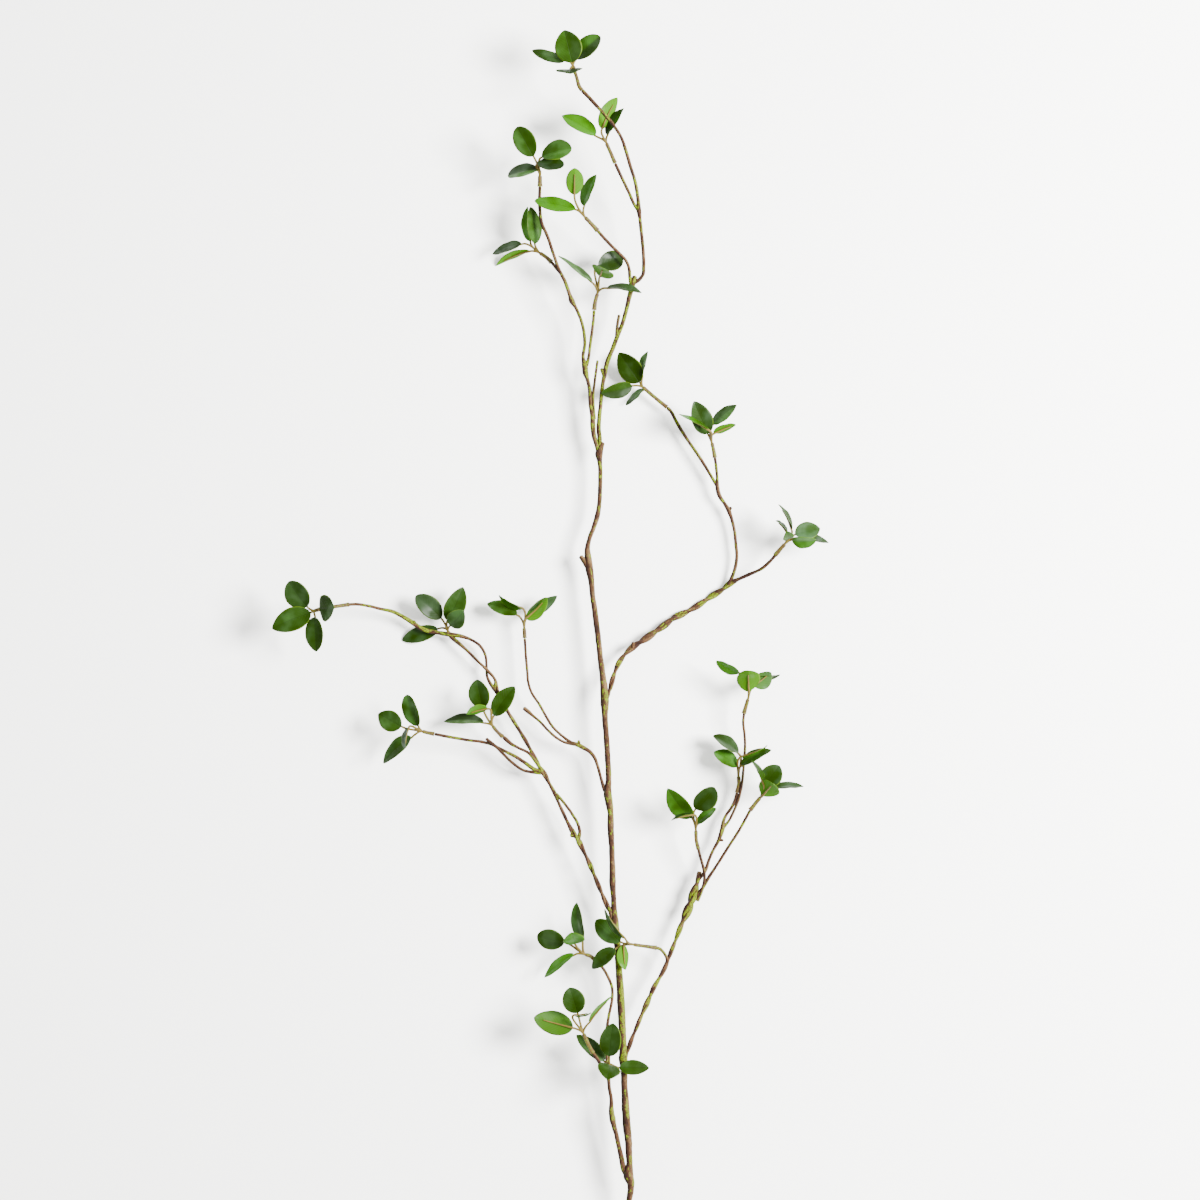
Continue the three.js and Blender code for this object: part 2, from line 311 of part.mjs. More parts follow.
// A round stem through the stations, mitred at each, closed by a flat face at both ends.
// grow thickens it all round, and lengthens it as much.
function stem(stations, sides, grow = 0) {
  const spine = stations.map(place);
  const count = spine.length;
  if (grow > 0) {
    spine[0].add(spine[0].clone().sub(spine[1]).setLength(grow));
    spine[count - 1].add(spine[count - 1].clone().sub(spine[count - 2]).setLength(grow));
  }
  const points = [];
  const triangles = [];
  const side = new THREE.Vector3(0, 0, 1);
  for (let i = 0; i < count; i += 1) {
    const back = i > 0 ? spine[i].clone().sub(spine[i - 1]).normalize() : new THREE.Vector3();
    const ahead = i < count - 1 ? spine[i + 1].clone().sub(spine[i]).normalize() : back;
    const along = back.clone().add(ahead).normalize();
    side.addScaledVector(along, -side.dot(along)).normalize();
    const across = new THREE.Vector3().crossVectors(along, side);
    const radius = stations[i][3] + grow;
    for (let k = 0; k < sides; k += 1) {
      const turn = (2 * Math.PI * (k + 0.5)) / sides;
      points.push(spine[i].clone()
        .addScaledVector(side, -radius * Math.cos(turn))
        .addScaledVector(across, -radius * Math.sin(turn)));
    }
  }
  for (let i = 0; i + 1 < count; i += 1) {
    for (let k = 0; k < sides; k += 1) {
      const a = i * sides + k;
      const b = i * sides + ((k + 1) % sides);
      triangles.push(a, b, a + sides, b, b + sides, a + sides);
    }
  }
  const last = (count - 1) * sides;
  for (let k = 1; k + 1 < sides; k += 1) {
    triangles.push(0, k + 1, k, last, last + k, last + k + 1);
  }
  return toSolid(surface(points, triangles));
}

// A leaf's own axes: along its rib, to its side and up from its face.
function leafFrame([x0, y0, z0, x1, y1, z1, width, roll, bow = 1]) {
  const base = place([x0, y0, z0]);
  const along = place([x1, y1, z1]).sub(base);
  const length = along.length();
  along.normalize();
  const level = new THREE.Vector3(-along.y, along.x, 0).normalize();
  const side = level.clone().applyAxisAngle(along, THREE.MathUtils.degToRad(roll));
  const up = new THREE.Vector3().crossVectors(along, side);
  return { base, along, side, up, length, width, bow };
}

// A leaf is one strip of rows, each with a left edge, a middle and a right edge on both
// faces. Square petiole rows leave the hub along the sleeve and bend to the blade. Blade
// rows are folded up along the rib and arched along it, and the faces are split alike.
function leaf(hub, heading, frame) {
  const { base, along, side, up, length, width, bow } = frame;
  const reach = hub.distanceTo(base);
  const bend = hub.clone().addScaledVector(heading, 0.35 * reach).lerp(base, 0.35);
  const rows = [];
  const petioleRow = (middle, toward, thick) => {
    const across = side.clone().addScaledVector(toward, -side.dot(toward)).normalize();
    const over = new THREE.Vector3().crossVectors(toward, across);
    rows.push({ middle, across, over, half: thick / 2, thick });
  };
  const root = hub.clone().addScaledVector(heading, -PETIOLE_ROOT);
  petioleRow(root, bend.clone().sub(hub).normalize(), 0.4);
  petioleRow(bend, base.clone().sub(hub).normalize(), PETIOLE_WIDTH);
  BLADE_ROWS.forEach((share, i) => {
    const middle = base.clone().addScaledVector(along, length * share)
      .addScaledVector(up, 4 * bow * BLADE_ARCH * length * share * (1 - share));
    const half = (width * BLADE_SPREAD[i]) / 2;
    rows.push({ middle, across: side, over: up, half, thick: i ? BLADE_THICKNESS : PETIOLE_WIDTH });
  });
  const points = [];
  for (const face of [0.5, -0.5]) {
    for (const { middle, across, over, half, thick } of rows) {
      for (const edge of [1, 0, -1]) {
        points.push(middle.clone().addScaledVector(across, edge * half)
          .addScaledVector(over, Math.abs(edge) * half * bow * BLADE_FOLD + face * thick));
      }
    }
  }
  const under = 3 * rows.length;
  const tip = under - 3;
  const triangles = [];
  const quad = (a, b, c, d) => triangles.push(a, b, c, a, c, d);
  for (let p = 0; p < tip; p += 3) {
    const q = under + p;
    quad(p, p + 1, p + 4, p + 3);
    quad(p + 1, p + 2, p + 5, p + 4);
    triangles.push(q, q + 4, q + 1, q, q + 3, q + 4, q + 1, q + 5, q + 2, q + 1, q + 4, q + 5);
    quad(p, p + 3, q + 3, q);
    quad(p + 2, q + 2, q + 5, p + 5);
  }
  quad(0, under, under + 1, 1);
  quad(1, under + 1, under + 2, 2);
  quad(tip, tip + 1, under + tip + 1, under + tip);
  quad(tip + 1, tip + 2, under + tip + 2, under + tip + 1);
  return toSolid(surface(points, triangles));
}

function spray({ sleeve, leaves }) {
  const start = place(sleeve[0]);
  const hub = place(sleeve[sleeve.length - 1]);
  const heading = hub.clone().sub(place(sleeve[sleeve.length - 2])).normalize();
  const ahead = place(sleeve[1]).sub(start).setLength(SEAT_GAP);
  const [x, y, z, radius] = sleeve[0];
  const seated = [[x + ahead.x, y + ahead.y, z + ahead.z, radius], ...sleeve.slice(1)];
  return join([
    stem(seated, SLEEVE_SIDES),
    ...leaves.map((ends) => leaf(hub, heading, leafFrame(ends))),
  ]);
}

// Pieces
const barkMaterial = new THREE.MeshStandardMaterial({
  color: 0x6f5038, roughness: 0.85, metalness: 0,
});
const leafMaterial = new THREE.MeshStandardMaterial({
  color: 0x2f7314, roughness: 0.5, metalness: 0,
});
const group = new THREE.Group();

function addPiece(name, solid, material) {
  const { vertProperties, triVerts } = solid.getMesh();
  const geometry = new THREE.BufferGeometry();
  geometry.setAttribute('position', new THREE.Float32BufferAttribute(vertProperties, 3));
  geometry.setIndex([...triVerts]);
  geometry.computeVertexNormals();
  const mesh = new THREE.Mesh(geometry, material.clone());
  mesh.name = name;
  group.add(mesh);
}

const trunk = join([mainStem, ...mainStubs].map((route) => stem(route, MAIN_SIDES)));
const trunkRoom = join([mainStem, ...mainStubs].map((route) => stem(route, MAIN_SIDES, SEAT_GAP)));
addPiece('main_stem', trunk, barkMaterial);

const branches = {
  upper_left_branch: upperLeftBranch,
  upper_right_branch: upperRightBranch,
  right_branch: rightBranch,
  small_left_branch: smallLeftBranch,
  left_branch: leftBranch,
  lower_right_branch: lowerRightBranch,
  lower_left_branch: lowerLeftBranch,
};
for (const [name, routes] of Object.entries(branches)) {
  let solid = join(routes.map((route) => stem(route, TWIG_SIDES))).subtract(trunkRoom);
  if (name === 'upper_right_branch') {
    solid = solid.subtract(join(upperLeftBranch.map((r) => stem(r, TWIG_SIDES, SEAT_GAP))));
  }
  addPiece(name, solid, barkMaterial);
}

sprays.forEach((item, i) => {
  addPiece(`leaf_spray_${String(i + 1).padStart(2, '0')}`, spray(item), leafMaterial);
});

export default group;
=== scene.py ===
# Looks of the lemon leaf branch: bark-wrapped stems with moss, moulded sprigs and cloth
# leaves, each piece standing for its CAD node.
import bpy
import numpy as np
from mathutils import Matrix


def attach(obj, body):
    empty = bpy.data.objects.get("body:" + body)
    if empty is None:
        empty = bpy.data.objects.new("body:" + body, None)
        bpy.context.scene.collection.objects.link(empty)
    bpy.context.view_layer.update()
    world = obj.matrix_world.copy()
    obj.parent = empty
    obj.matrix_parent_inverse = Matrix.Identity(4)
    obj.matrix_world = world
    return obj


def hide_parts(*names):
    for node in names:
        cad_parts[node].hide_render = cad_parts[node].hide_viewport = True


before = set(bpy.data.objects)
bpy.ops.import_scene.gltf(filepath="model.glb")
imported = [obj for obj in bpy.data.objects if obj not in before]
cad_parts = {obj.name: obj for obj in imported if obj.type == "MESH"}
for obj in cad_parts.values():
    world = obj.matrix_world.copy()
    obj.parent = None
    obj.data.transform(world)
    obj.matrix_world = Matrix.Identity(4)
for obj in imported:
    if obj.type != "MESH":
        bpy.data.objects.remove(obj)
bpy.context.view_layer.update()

print("frame loaded:", len(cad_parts), "nodes")

# Stations are millimetres, read looking straight down from this eye, as in the part
eye = {"x": 40, "y": 60, "height": 2270}


def place(points):
    # x = eyeX + (x - eyeX) * (1 - z / height), y alike, in metres
    points = np.array(points, float)
    k = 1 - points[:, 2:3] / eye["height"]
    over = np.array([eye["x"], eye["y"]])
    return np.hstack([over + (points[:, :2] - over) * k, points[:, 2:3]]) / 1000


def unit(v):
    return v / np.maximum(np.linalg.norm(v, axis=-1, keepdims=True), 1e-12)


def lengths(points):
    # distance travelled to each point of a path
    return np.concatenate([[0], np.cumsum(np.linalg.norm(np.diff(points, axis=0), axis=1))])


def smoothPath(points, step):
    # Hermite curve through the points: each tangent is the slope between its neighbours,
    # p = h00 p0 + h10 d m0 + h01 p1 + h11 d m1
    along = lengths(points)
    tangent = np.gradient(points, along, axis=0)
    at = np.linspace(0, along[-1], max(int(along[-1] / step), 3) + 1)
    i = np.clip(np.searchsorted(along, at, "right") - 1, 0, len(along) - 2)
    d = (along[i + 1] - along[i])[:, None]
    t = (at - along[i])[:, None] / d
    path = ((2 * t**3 - 3 * t**2 + 1) * points[i] + (t**3 - 2 * t**2 + t) * d * tangent[i]
            + (3 * t**2 - 2 * t**3) * points[i + 1] + (t**3 - t**2) * d * tangent[i + 1])
    return path, at, along


def tube(path, radius, turn, across):
    # rings: path + radius * (cos turn * side + sin turn * up), side square to `across`
    tangent = unit(np.gradient(path, axis=0))
    side = unit(np.cross(across, tangent))
    up = np.cross(tangent, side)
    out = (np.cos(turn)[None, :, None] * side[:, None]
           + np.sin(turn)[None, :, None] * up[:, None])
    return path[:, None] + radius[:, :, None] * out, out


def speckle(turn, along, around, pitch, seed):
    # smooth random heights from -0.5 to 0.5 on a net of `around` cells in a turn, one
    # every `pitch` along: corner values blended by 3t^2 - 2t^3
    x, y = turn / (2 * np.pi) * around, along / pitch
    i, j = np.floor(x).astype(int), np.floor(y).astype(int)
    u, v = x - i, y - j
    u, v = u * u * (3 - 2 * u), v * v * (3 - 2 * v)
    net = np.random.default_rng(seed).random((j.max() + 2, around))
    low = net[j, i % around] * (1 - u) + net[j, (i + 1) % around] * u
    high = net[j + 1, i % around] * (1 - u) + net[j + 1, (i + 1) % around] * u
    return low * (1 - v) + high * v - 0.5


def makePiece(name, shells, finish, node):
    # a shell is rings (n, m, 3) and its attributes, each (n, m) or (n, m, 3); quads join
    # the rings and a face closes each end
    points, faces = [], []
    values = {}
    start = 0
    for rings, marks in shells:
        n, m = rings.shape[:2]
        net = start + np.arange(n * m).reshape(n, m)
        beside = np.roll(net, -1, axis=1)
        quads = np.stack([net[:-1], beside[:-1], beside[1:], net[1:]], axis=-1)
        faces += quads.reshape(-1, 4).tolist()
        faces += [net[0, ::-1].tolist(), net[-1].tolist()]
        points.append(rings.reshape(-1, 3))
        for key, mark in marks.items():
            values.setdefault(key, []).append(mark.reshape(n * m, -1))
        start += n * m
    mesh = bpy.data.meshes.new(name)
    mesh.from_pydata(np.vstack(points).tolist(), [], faces)
    for key, parts in values.items():
        data = np.vstack(parts)
        kind, field = ("FLOAT_VECTOR", "vector") if data.shape[1] == 3 else ("FLOAT", "value")
        mesh.attributes.new(key, kind, "POINT").data.foreach_set(field, data.ravel())
    mesh.polygons.foreach_set("use_smooth", [True] * len(mesh.polygons))
    mesh.materials.append(finish)
    mesh.update()
    piece = bpy.data.objects.new(name, mesh)
    bpy.context.scene.collection.objects.link(piece)
    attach(piece, "root")
    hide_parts(node)


class Wire:
    # a value running through a material: arithmetic on it adds Math nodes
    def __init__(self, finish, socket):
        self.finish, self.socket = finish, socket

    def math(self, operation, *others, swap=False):
        values = [self, *others]
        if swap:
            values.reverse()
        return self.finish.add("Math", {"operation": operation}, dict(enumerate(values)))

    def __add__(self, other):
        return self.math("ADD", other)

    def __radd__(self, other):
        return self.math("ADD", other)

    def __sub__(self, other):
        return self.math("SUBTRACT", other)

    def __rsub__(self, other):
        return self.math("SUBTRACT", other, swap=True)

    def __mul__(self, other):
        return self.math("MULTIPLY", other)

    def __rmul__(self, other):
        return self.math("MULTIPLY", other)

    def __truediv__(self, other):
        return self.math("DIVIDE", other)

    def band(self, low, high):
        # 0 below low, 1 above high, eased between
        return self.finish.add("MapRange", {"interpolation_type": "SMOOTHSTEP"},
                               {"Value": self, "From Min": low, "From Max": high})


class Finish:
    # one material: its nodes are added here, and `close` sets the shader's sockets
    def __init__(self, name):
        self.material = bpy.data.materials.new(name)
        self.material.use_nodes = True
        self.tree = self.material.node_tree
        self.shader = self.tree.nodes["Principled BSDF"]

    def plug(self, node, key, value):
        if isinstance(value, Wire):
            self.tree.links.new(value.socket, node.inputs[key])
        else:
            node.inputs[key].default_value = value

    def add(self, kind, settings=None, inputs=None, output=0):
        node = self.tree.nodes.new("ShaderNode" + kind)
        for key, value in (settings or {}).items():
            setattr(node, key, value)
        for key, value in (inputs or {}).items():
            self.plug(node, key, value)
        return Wire(self, node.outputs[output])

    def mark(self, name, output="Fac"):
        return self.add("Attribute", {"attribute_name": name}, output=output)

    def parts(self, vector):
        return [self.add("SeparateXYZ", None, {0: vector}, output=i) for i in range(3)]

    def mix(self, factor, low, high):
        # colours are (r, g, b) or wires
        low, high = ((*c, 1) if isinstance(c, tuple) else c for c in (low, high))
        return self.add("Mix", {"data_type": "RGBA", "clamp_factor": True},
                        {0: factor, 6: low, 7: high}, output=2)

    def noise(self, place, scale, detail, rough):
        return self.add("TexNoise", None, {"Vector": place, "Scale": scale,
                                           "Detail": detail, "Roughness": rough})

    def stretch(self, place, scale):
        return self.add("VectorMath", {"operation": "MULTIPLY"}, {0: place, 1: scale})

    def bump(self, height, distance, strength):
        return self.add("Bump", None, {"Height": height, "Distance": distance,
                                       "Strength": strength})

    def close(self, sockets):
        for key, value in sockets.items():
            self.plug(self.shader, key, (*value, 1) if isinstance(value, tuple) else value)
        return self.material


def colour(code):
    # "#rrggbb" as the linear values that the shader takes
    c = np.array([int(code[i:i + 2], 16) for i in (1, 3, 5)]) / 255
    return tuple(float(v) for v in np.where(c < 0.04045, c / 12.92, ((c + 0.055) / 1.055)**2.4))


bark = {
    "sides": 22,
    "ringStep": 0.0007,
    "endRound": 0.0006,
    "lumps": 0.15,       # swellings, as a share of the radius
    "fissures": 0.13,    # furrows along the stem, as a share of the radius
    "wrapPitch": 0.0065,
    "wrapEdge": 0.03,    # height of the wrap's overlapping edge, as a share of the radius
    "layPitch": 0.032, "layLeast": 0.0011,  # of two strands wound together
    "layOffset": 0.5, "layThin": 0.4,       # shares of the stem's radius
    "layEase": 0.0007, "layAtLeast": 0.35,  # the strands part over this rise in radius
    "wider": 0.0002,
    "markUnit": 0.0022,  # the material's coordinates are in this unit
    "mossLeast": 0.08,
    "mossLevel": 0.62, "mossRight": 0.75, "mossUp": 0.25, "mossMost": 1.15,  # by facing
    "lit": [0.85, 0.3, 0.3],  # painted light: the bark's colour is darker on the side away from this direction and paler towards it
    "dark": "#120906", "brown": "#2b170e", "tan": "#3e2817", "pale": "#665233",
    "moss": "#546600", "mossPale": "#7e8008", "mossDark": "#1e2700", "core": "#5a4330",
}


def barkStem(stations, patches, seed, strand=None):
    # radius = station radius, eased over its neighbours, times 1 + lumps + fissures + the
    # wrap's edge; a strand winds round the path where it is thicker than layLeast, its
    # angle = strand + 2 pi s / layPitch
    points = place(stations)
    path, at, along = smoothPath(points, bark["ringStep"])
    radius = np.interp(at, along, np.array(stations)[:, 3] / 1000)
    ease = np.hanning(7) / np.hanning(7).sum()
    radius = np.convolve(np.pad(radius, 3, mode="edge"), ease, "valid")
    if strand is not None:
        angle = (strand + 2 * np.pi * at / bark["layPitch"])[:, None]
        tangent = unit(np.gradient(path, axis=0))
        side = unit(np.cross(np.array([0, 0, 1.0]), tangent))
        swing = np.cos(angle) * side + np.sin(angle) * np.cross(tangent, side)
        apart = np.clip((radius - bark["layLeast"]) / bark["layEase"], bark["layAtLeast"], 1)
        path = path + (bark["layOffset"] * apart * radius)[:, None] * swing
        radius = (1 - bark["layThin"] * apart) * radius
    turn = np.arange(bark["sides"]) * 2 * np.pi / bark["sides"]
    s, t = np.meshgrid(at, turn, indexing="ij")
    lumps = speckle(t, s, 3, 0.009, seed) + 0.5 * speckle(t, s, 5, 0.004, seed + 1)
    furrow = speckle(t + 9 * s, s, 9, 0.007, seed + 2)
    furrow = np.abs(furrow) + 0.6 * np.abs(speckle(t, s, 11, 0.0035, seed + 3)) - 0.2
    lap = np.mod(s / bark["wrapPitch"] + t / (2 * np.pi), 1)
    lap = (1 - lap)**4 - 0.2
    relief = (bark["lumps"] * lumps + bark["fissures"] * furrow + bark["wrapEdge"] * lap)
    # both ends are rounded: the radius falls as a quarter circle
    inward = np.minimum(at, at[-1] - at) / bark["endRound"]
    inward = np.sqrt(np.clip(1 - (1 - np.clip(inward, 0, 1))**2, 0.01, 1))
    rings, out = tube(path, (radius[:, None] * (1 + relief) + bark["wider"]) * inward[:, None],
                      turn, np.array([0, 0, 1.0]))
    rings[..., 2] = np.maximum(rings[..., 2], 0)  # pressed flat on the surface
    # how far each point faces that direction, which steers the painted shade and painted
    # highlight in the bark's colour
    lit = out @ np.array(bark["lit"])
    straight = np.stack([np.cos(t), np.sin(t), s / bark["markUnit"]], axis=-1)
    straight[..., :2] *= radius[:, None, None] / bark["markUnit"]
    straight[..., 2] += seed * 7.3
    core = np.broadcast_to(1 - inward[:, None], t.shape)
    return rings, {"straight": straight, "relief": relief, "lit": lit, "core": core,
                   "mossy": mossiness(rings, out, patches)}


def mossiness(rings, out, patches):
    # patches are centre x, y and reach in millimetres and strength; the nearest one's
    # exp(-(distance / reach)^2) * strength, on the side that faces right and up
    patches = np.array(patches, float).reshape(-1, 4)
    x, y = rings[..., 0, None] * 1000, rings[..., 1, None] * 1000
    off = ((x - patches[:, 0])**2 + (y - patches[:, 1])**2) / patches[:, 2]**2
    near = (np.exp(-off) * patches[:, 3]).max(axis=-1, initial=bark["mossLeast"])
    facing = bark["mossLevel"] + bark["mossRight"] * out[..., 0] + bark["mossUp"] * out[..., 2]
    return near * np.clip(facing, 0, bark["mossMost"])


# Each branch: routes of its stems, as x, y, z and radius; moss patches, as x, y, reach and
# strength; and which of its routes are two strands laid together
mainStem = {
    "routes": [
        [[64, -508, 1.75, 2.1], [63.6, -501, 1.75, 2.1], [62.8, -484, 6, 2.1],
         [62.3, -464, 12, 2.1], [62.5, -440, 17.5, 2.1], [63.3, -420, 21.5, 2.1],
         [64.6, -411, 23, 2.4], [64.4, -406, 23.4, 3.1], [62.6, -401, 24, 4.1],
         [62.8, -396, 24.3, 3.4], [63.6, -391, 24.5, 2.3], [63.2, -384, 24.6, 2.4],
         [62.5, -371, 24.8, 2.8], [61, -355, 24.8, 3], [60.2, -341, 24.6, 2.8],
         [59.5, -328, 24.2, 2.4], [59.2, -316, 24, 2.5], [58.6, -307, 24, 3.4],
         [58.5, -299, 23.8, 2.6], [58, -287, 23.6, 2.6], [57.2, -270, 23, 2.9],
         [56.2, -251, 22.5, 2.8], [54.8, -232, 22, 2.6], [53.8, -214, 21.8, 2.5],
         [52, -197, 21.6, 2.8], [51, -184, 21.3, 2.1], [50.6, -175, 21.2, 2],
         [50, -165, 21, 2.6], [49.8, -151, 20.8, 2.1], [49.2, -136, 20.6, 2.2],
         [48.5, -121, 20.5, 2.5], [48.4, -110, 20.4, 2.1], [47.4, -103, 20.3, 2.8],
         [46.2, -94, 20.2, 3.1], [46.8, -84, 20.2, 2.1], [46.3, -68, 20.1, 2.1],
         [45, -48, 20, 2.1], [43.8, -31, 20, 2.2], [43.8, -22, 20, 3.3], [43, -10, 20, 2.8],
         [42, 0, 19.5, 2.3], [40, 16, 19, 2.1], [38, 35, 18.5, 2.1], [36, 50, 18, 2.1],
         [34, 64, 17.8, 2], [33, 75, 17.6, 2.2], [31.6, 84, 17.4, 3.1], [30.4, 93, 17.3, 2.8],
         [30, 102, 17.2, 1.8], [31.2, 108, 17.1, 1.6], [34.8, 118, 17, 1.7],
         [38, 128, 17, 1.9], [39.5, 138, 17, 1.6], [40.1, 152, 17, 1.6], [40.2, 166, 17, 1.6],
         [39.6, 172, 17, 2], [39.2, 177, 17, 3], [40.4, 181.5, 17, 2.2], [42.2, 186.5, 17, 1.7]],
        [[31, 86, 17.4, 2.4], [27.4, 91, 17.6, 1.9], [24, 95.5, 17.8, 1.5]]],
    "moss": [[40, 160, 12, 0.5], [39, 142, 10, 0.4], [48, -104, 10, 0.6], [45, -28, 9, 0.5],
             [52, -205, 14, 0.8], [55, -228, 18, 1], [57, -252, 18, 1], [58, -276, 16, 1],
             [59, -298, 12, 0.9], [60, -345, 6, 0.7], [66, -383, 5, 0.7], [44, -18, 7, 0.8],
             [47, -96, 7, 0.7]],
    "laid": [],
}

upperLeftBranch = {
    "routes": [
        [[39, 177, 17, 1.4], [37.4, 183.5, 17.3, 1.5], [35.2, 191, 17.5, 1.7],
         [34.2, 200, 18, 1.9], [33.8, 208, 18.5, 1.7], [32.4, 217, 19, 1.5],
         [32.2, 224, 19.5, 1.4], [31.3, 231, 20, 1.3], [29.8, 237, 20.5, 1.3],
         [28.4, 242, 21.2, 2.2], [27.8, 248, 22, 2.1], [26.5, 254, 23, 1.1],
         [27.8, 264, 24.5, 1.1], [26.9, 276, 26, 1.1], [24, 286, 27, 1.1],
         [20, 295, 27.8, 1.2], [17.6, 299, 28, 2.1], [15.8, 304, 28.5, 1.3],
         [11.5, 316, 30, 1.2], [7.4, 324, 31, 1.1], [3, 336, 32.4, 1.1],
         [-1.6, 350, 33.6, 1.1], [-6.6, 362, 34.6, 1.1], [-8.2, 374, 35.4, 1.1],
         [-8.1, 391, 39, 1.1]],
        [[9.2, 320.5, 30.4, 1], [5, 325.5, 28.6, 1], [1, 330.5, 26, 1]],
        [[29.2, 247, 22, 1.3], [30.9, 254, 22.6, 1], [31.9, 262, 23, 1], [33.4, 273, 23.6, 1],
         [34.8, 285, 24.2, 1], [35.3, 292, 24.6, 1]],
        [[35.6, 204, 18.3, 1.1], [35, 213, 19.2, 0.9], [34.5, 223, 20.6, 0.9],
         [35.8, 235, 22, 0.9], [38.1, 252, 24, 0.8]]],
    "moss": [[34, 200, 12, 0.6], [33, 214, 9, 0.5], [29, 241, 9, 1], [26, 264, 12, 1],
             [37, 184, 8, 0.7], [27, 285, 14, 0.8], [12, 312, 12, 0.7], [36, 280, 20, 0.3]],
    "laid": [],
}

upperRightBranch = {
    "routes": [
        [[40.2, 179, 17, 1.4], [39.8, 188, 17.4, 1.7], [39, 197, 17.8, 1.7],
         [39.3, 206, 18.2, 1.5], [40.5, 216, 18.8, 1.4], [41.2, 225, 19.3, 1.3],
         [42.2, 233, 19.8, 1.4], [43.8, 241, 20.3, 1.6], [45.2, 248, 20.8, 1.6],
         [48, 256, 21.5, 1.6], [50.9, 263, 22, 1.6], [53.9, 271, 22.6, 1.6],
         [57.6, 280, 23.3, 1.5], [60.8, 291, 24, 1.5], [62.6, 299, 24.8, 1.6],
         [64.6, 307, 25.5, 1.8], [66.4, 314, 26, 2.4], [68.2, 319.6, 26.6, 1.6]],
        [[43.4, 239, 20.2, 1.2], [41, 245.6, 20.8, 1.2]],
        [[53, 268, 22.4, 1.1], [53.6, 278, 24, 1], [55.3, 288.5, 26, 1]],
        [[65.2, 311, 26, 1.4], [63.9, 318, 26.8, 1.2], [63.4, 324, 27.8, 1.1],
         [61, 331, 29, 1.1], [56, 336.8, 31, 1.1], [50, 342.4, 33.4, 1.1],
         [44, 348.8, 36, 1.1], [38, 355.6, 38.5, 1.1]],
        [[67, 313.5, 26, 1.4], [71.6, 316.6, 26.6, 1.3], [74.4, 320.6, 27.2, 1.2],
         [75, 327, 28, 1.2], [74.6, 338, 29.6, 1.2], [73.2, 353, 31.6, 1.2],
         [71.8, 366, 33.4, 1.2], [71.2, 371, 34, 1.9], [70.4, 381, 35.6, 1.2],
         [68.2, 394, 38.4, 1.2], [64.6, 406, 41.6, 1.2], [60.8, 419, 44.8, 1.2],
         [57, 430, 47.4, 1.1], [50.6, 440, 49.4, 1.1], [41.6, 450.6, 50.4, 1.1],
         [33.4, 459.6, 50.4, 1.3], [25.4, 468, 50, 1.4]],
        [[71, 371.4, 34, 1.2], [68, 375.4, 34.4, 1.1], [63.4, 385.4, 35.4, 1.1],
         [57.4, 398, 36.6, 1.1], [52, 409.6, 37.6, 1.1]]],
    "moss": [[40, 184, 12, 1], [40, 202, 14, 1], [41, 222, 12, 1], [46, 249, 10, 1],
             [52, 266, 12, 1], [58, 285, 12, 0.9], [63, 303, 10, 0.9], [66, 314, 8, 0.8],
             [66, 382, 10, 0.6], [71, 371, 7, 0.7], [49, 346, 9, 0.4], [50, 414, 10, 0.6]],
    "laid": [],
}

rightBranch = {
    "routes": [
        [[44, -20, 20, 2], [47.4, -13, 19.4, 1.8], [50.2, -3, 18, 1.8], [54.2, 8, 16, 1.9],
         [59.6, 16, 13.8, 1.9], [66.4, 22.4, 11.6, 2.4], [75, 28, 9.4, 2.6],
         [84, 34.4, 7.4, 2.7], [92, 40, 5.6, 2.5], [99, 45.4, 4, 2.7], [107, 49.4, 2.5, 2.4],
         [115, 53.4, 1.7, 2.2], [122, 58, 1.7, 2.2], [130, 63.4, 2.4, 2.3],
         [138, 68.4, 4, 2.3], [144.4, 73.4, 5.6, 2.2], [151, 76.8, 8, 1.4],
         [160, 80.8, 11.6, 1.3], [170, 85.6, 16.2, 1.2], [176, 91, 19.6, 1.2],
         [180.4, 96, 22.6, 1.2]],
        [[65.6, 21.6, 12, 1.5], [66.8, 26.6, 13.4, 1.1]],
        [[142.6, 71.6, 5.4, 1.5], [145.4, 78, 6.6, 1.3], [148.2, 86, 7.6, 1.2],
         [149.4, 93.6, 8, 1.1], [148.8, 104, 8.6, 1.1], [147.2, 117, 9.2, 1.1],
         [144.8, 126.6, 9.6, 1.2], [142.8, 131.8, 9.8, 1.8], [139.4, 137.6, 10, 1.2],
         [135.6, 143.4, 10.6, 1.5], [133.8, 150.6, 11.4, 1.5], [133.7, 157, 12.4, 1],
         [133, 166, 14, 1], [131.9, 174, 15.4, 1]],
        [[142.8, 131, 9.8, 1.3], [145.2, 134.6, 10.4, 1]],
        [[133.7, 151, 11.4, 1.1], [128.6, 159.6, 11.2, 1.1], [123.6, 168, 11, 1.1],
         [118.6, 175.8, 10.8, 1.1], [112.6, 184.4, 10.6, 1.1], [106.6, 193.4, 10.4, 1.2],
         [100.8, 203.4, 10.2, 1.2], [96.4, 211.4, 10, 1.1], [93.6, 214.2, 9.9, 1.2]]],
    "moss": [[95, 43, 12, 0.5], [122, 58, 10, 0.4], [140, 136, 9, 0.6], [144, 73, 7, 0.6],
             [102, 204, 7, 0.7], [115, 182, 9, 0.7], [131, 158, 7, 0.6], [133, 66, 9, 0.8]],
    "laid": [0],
}

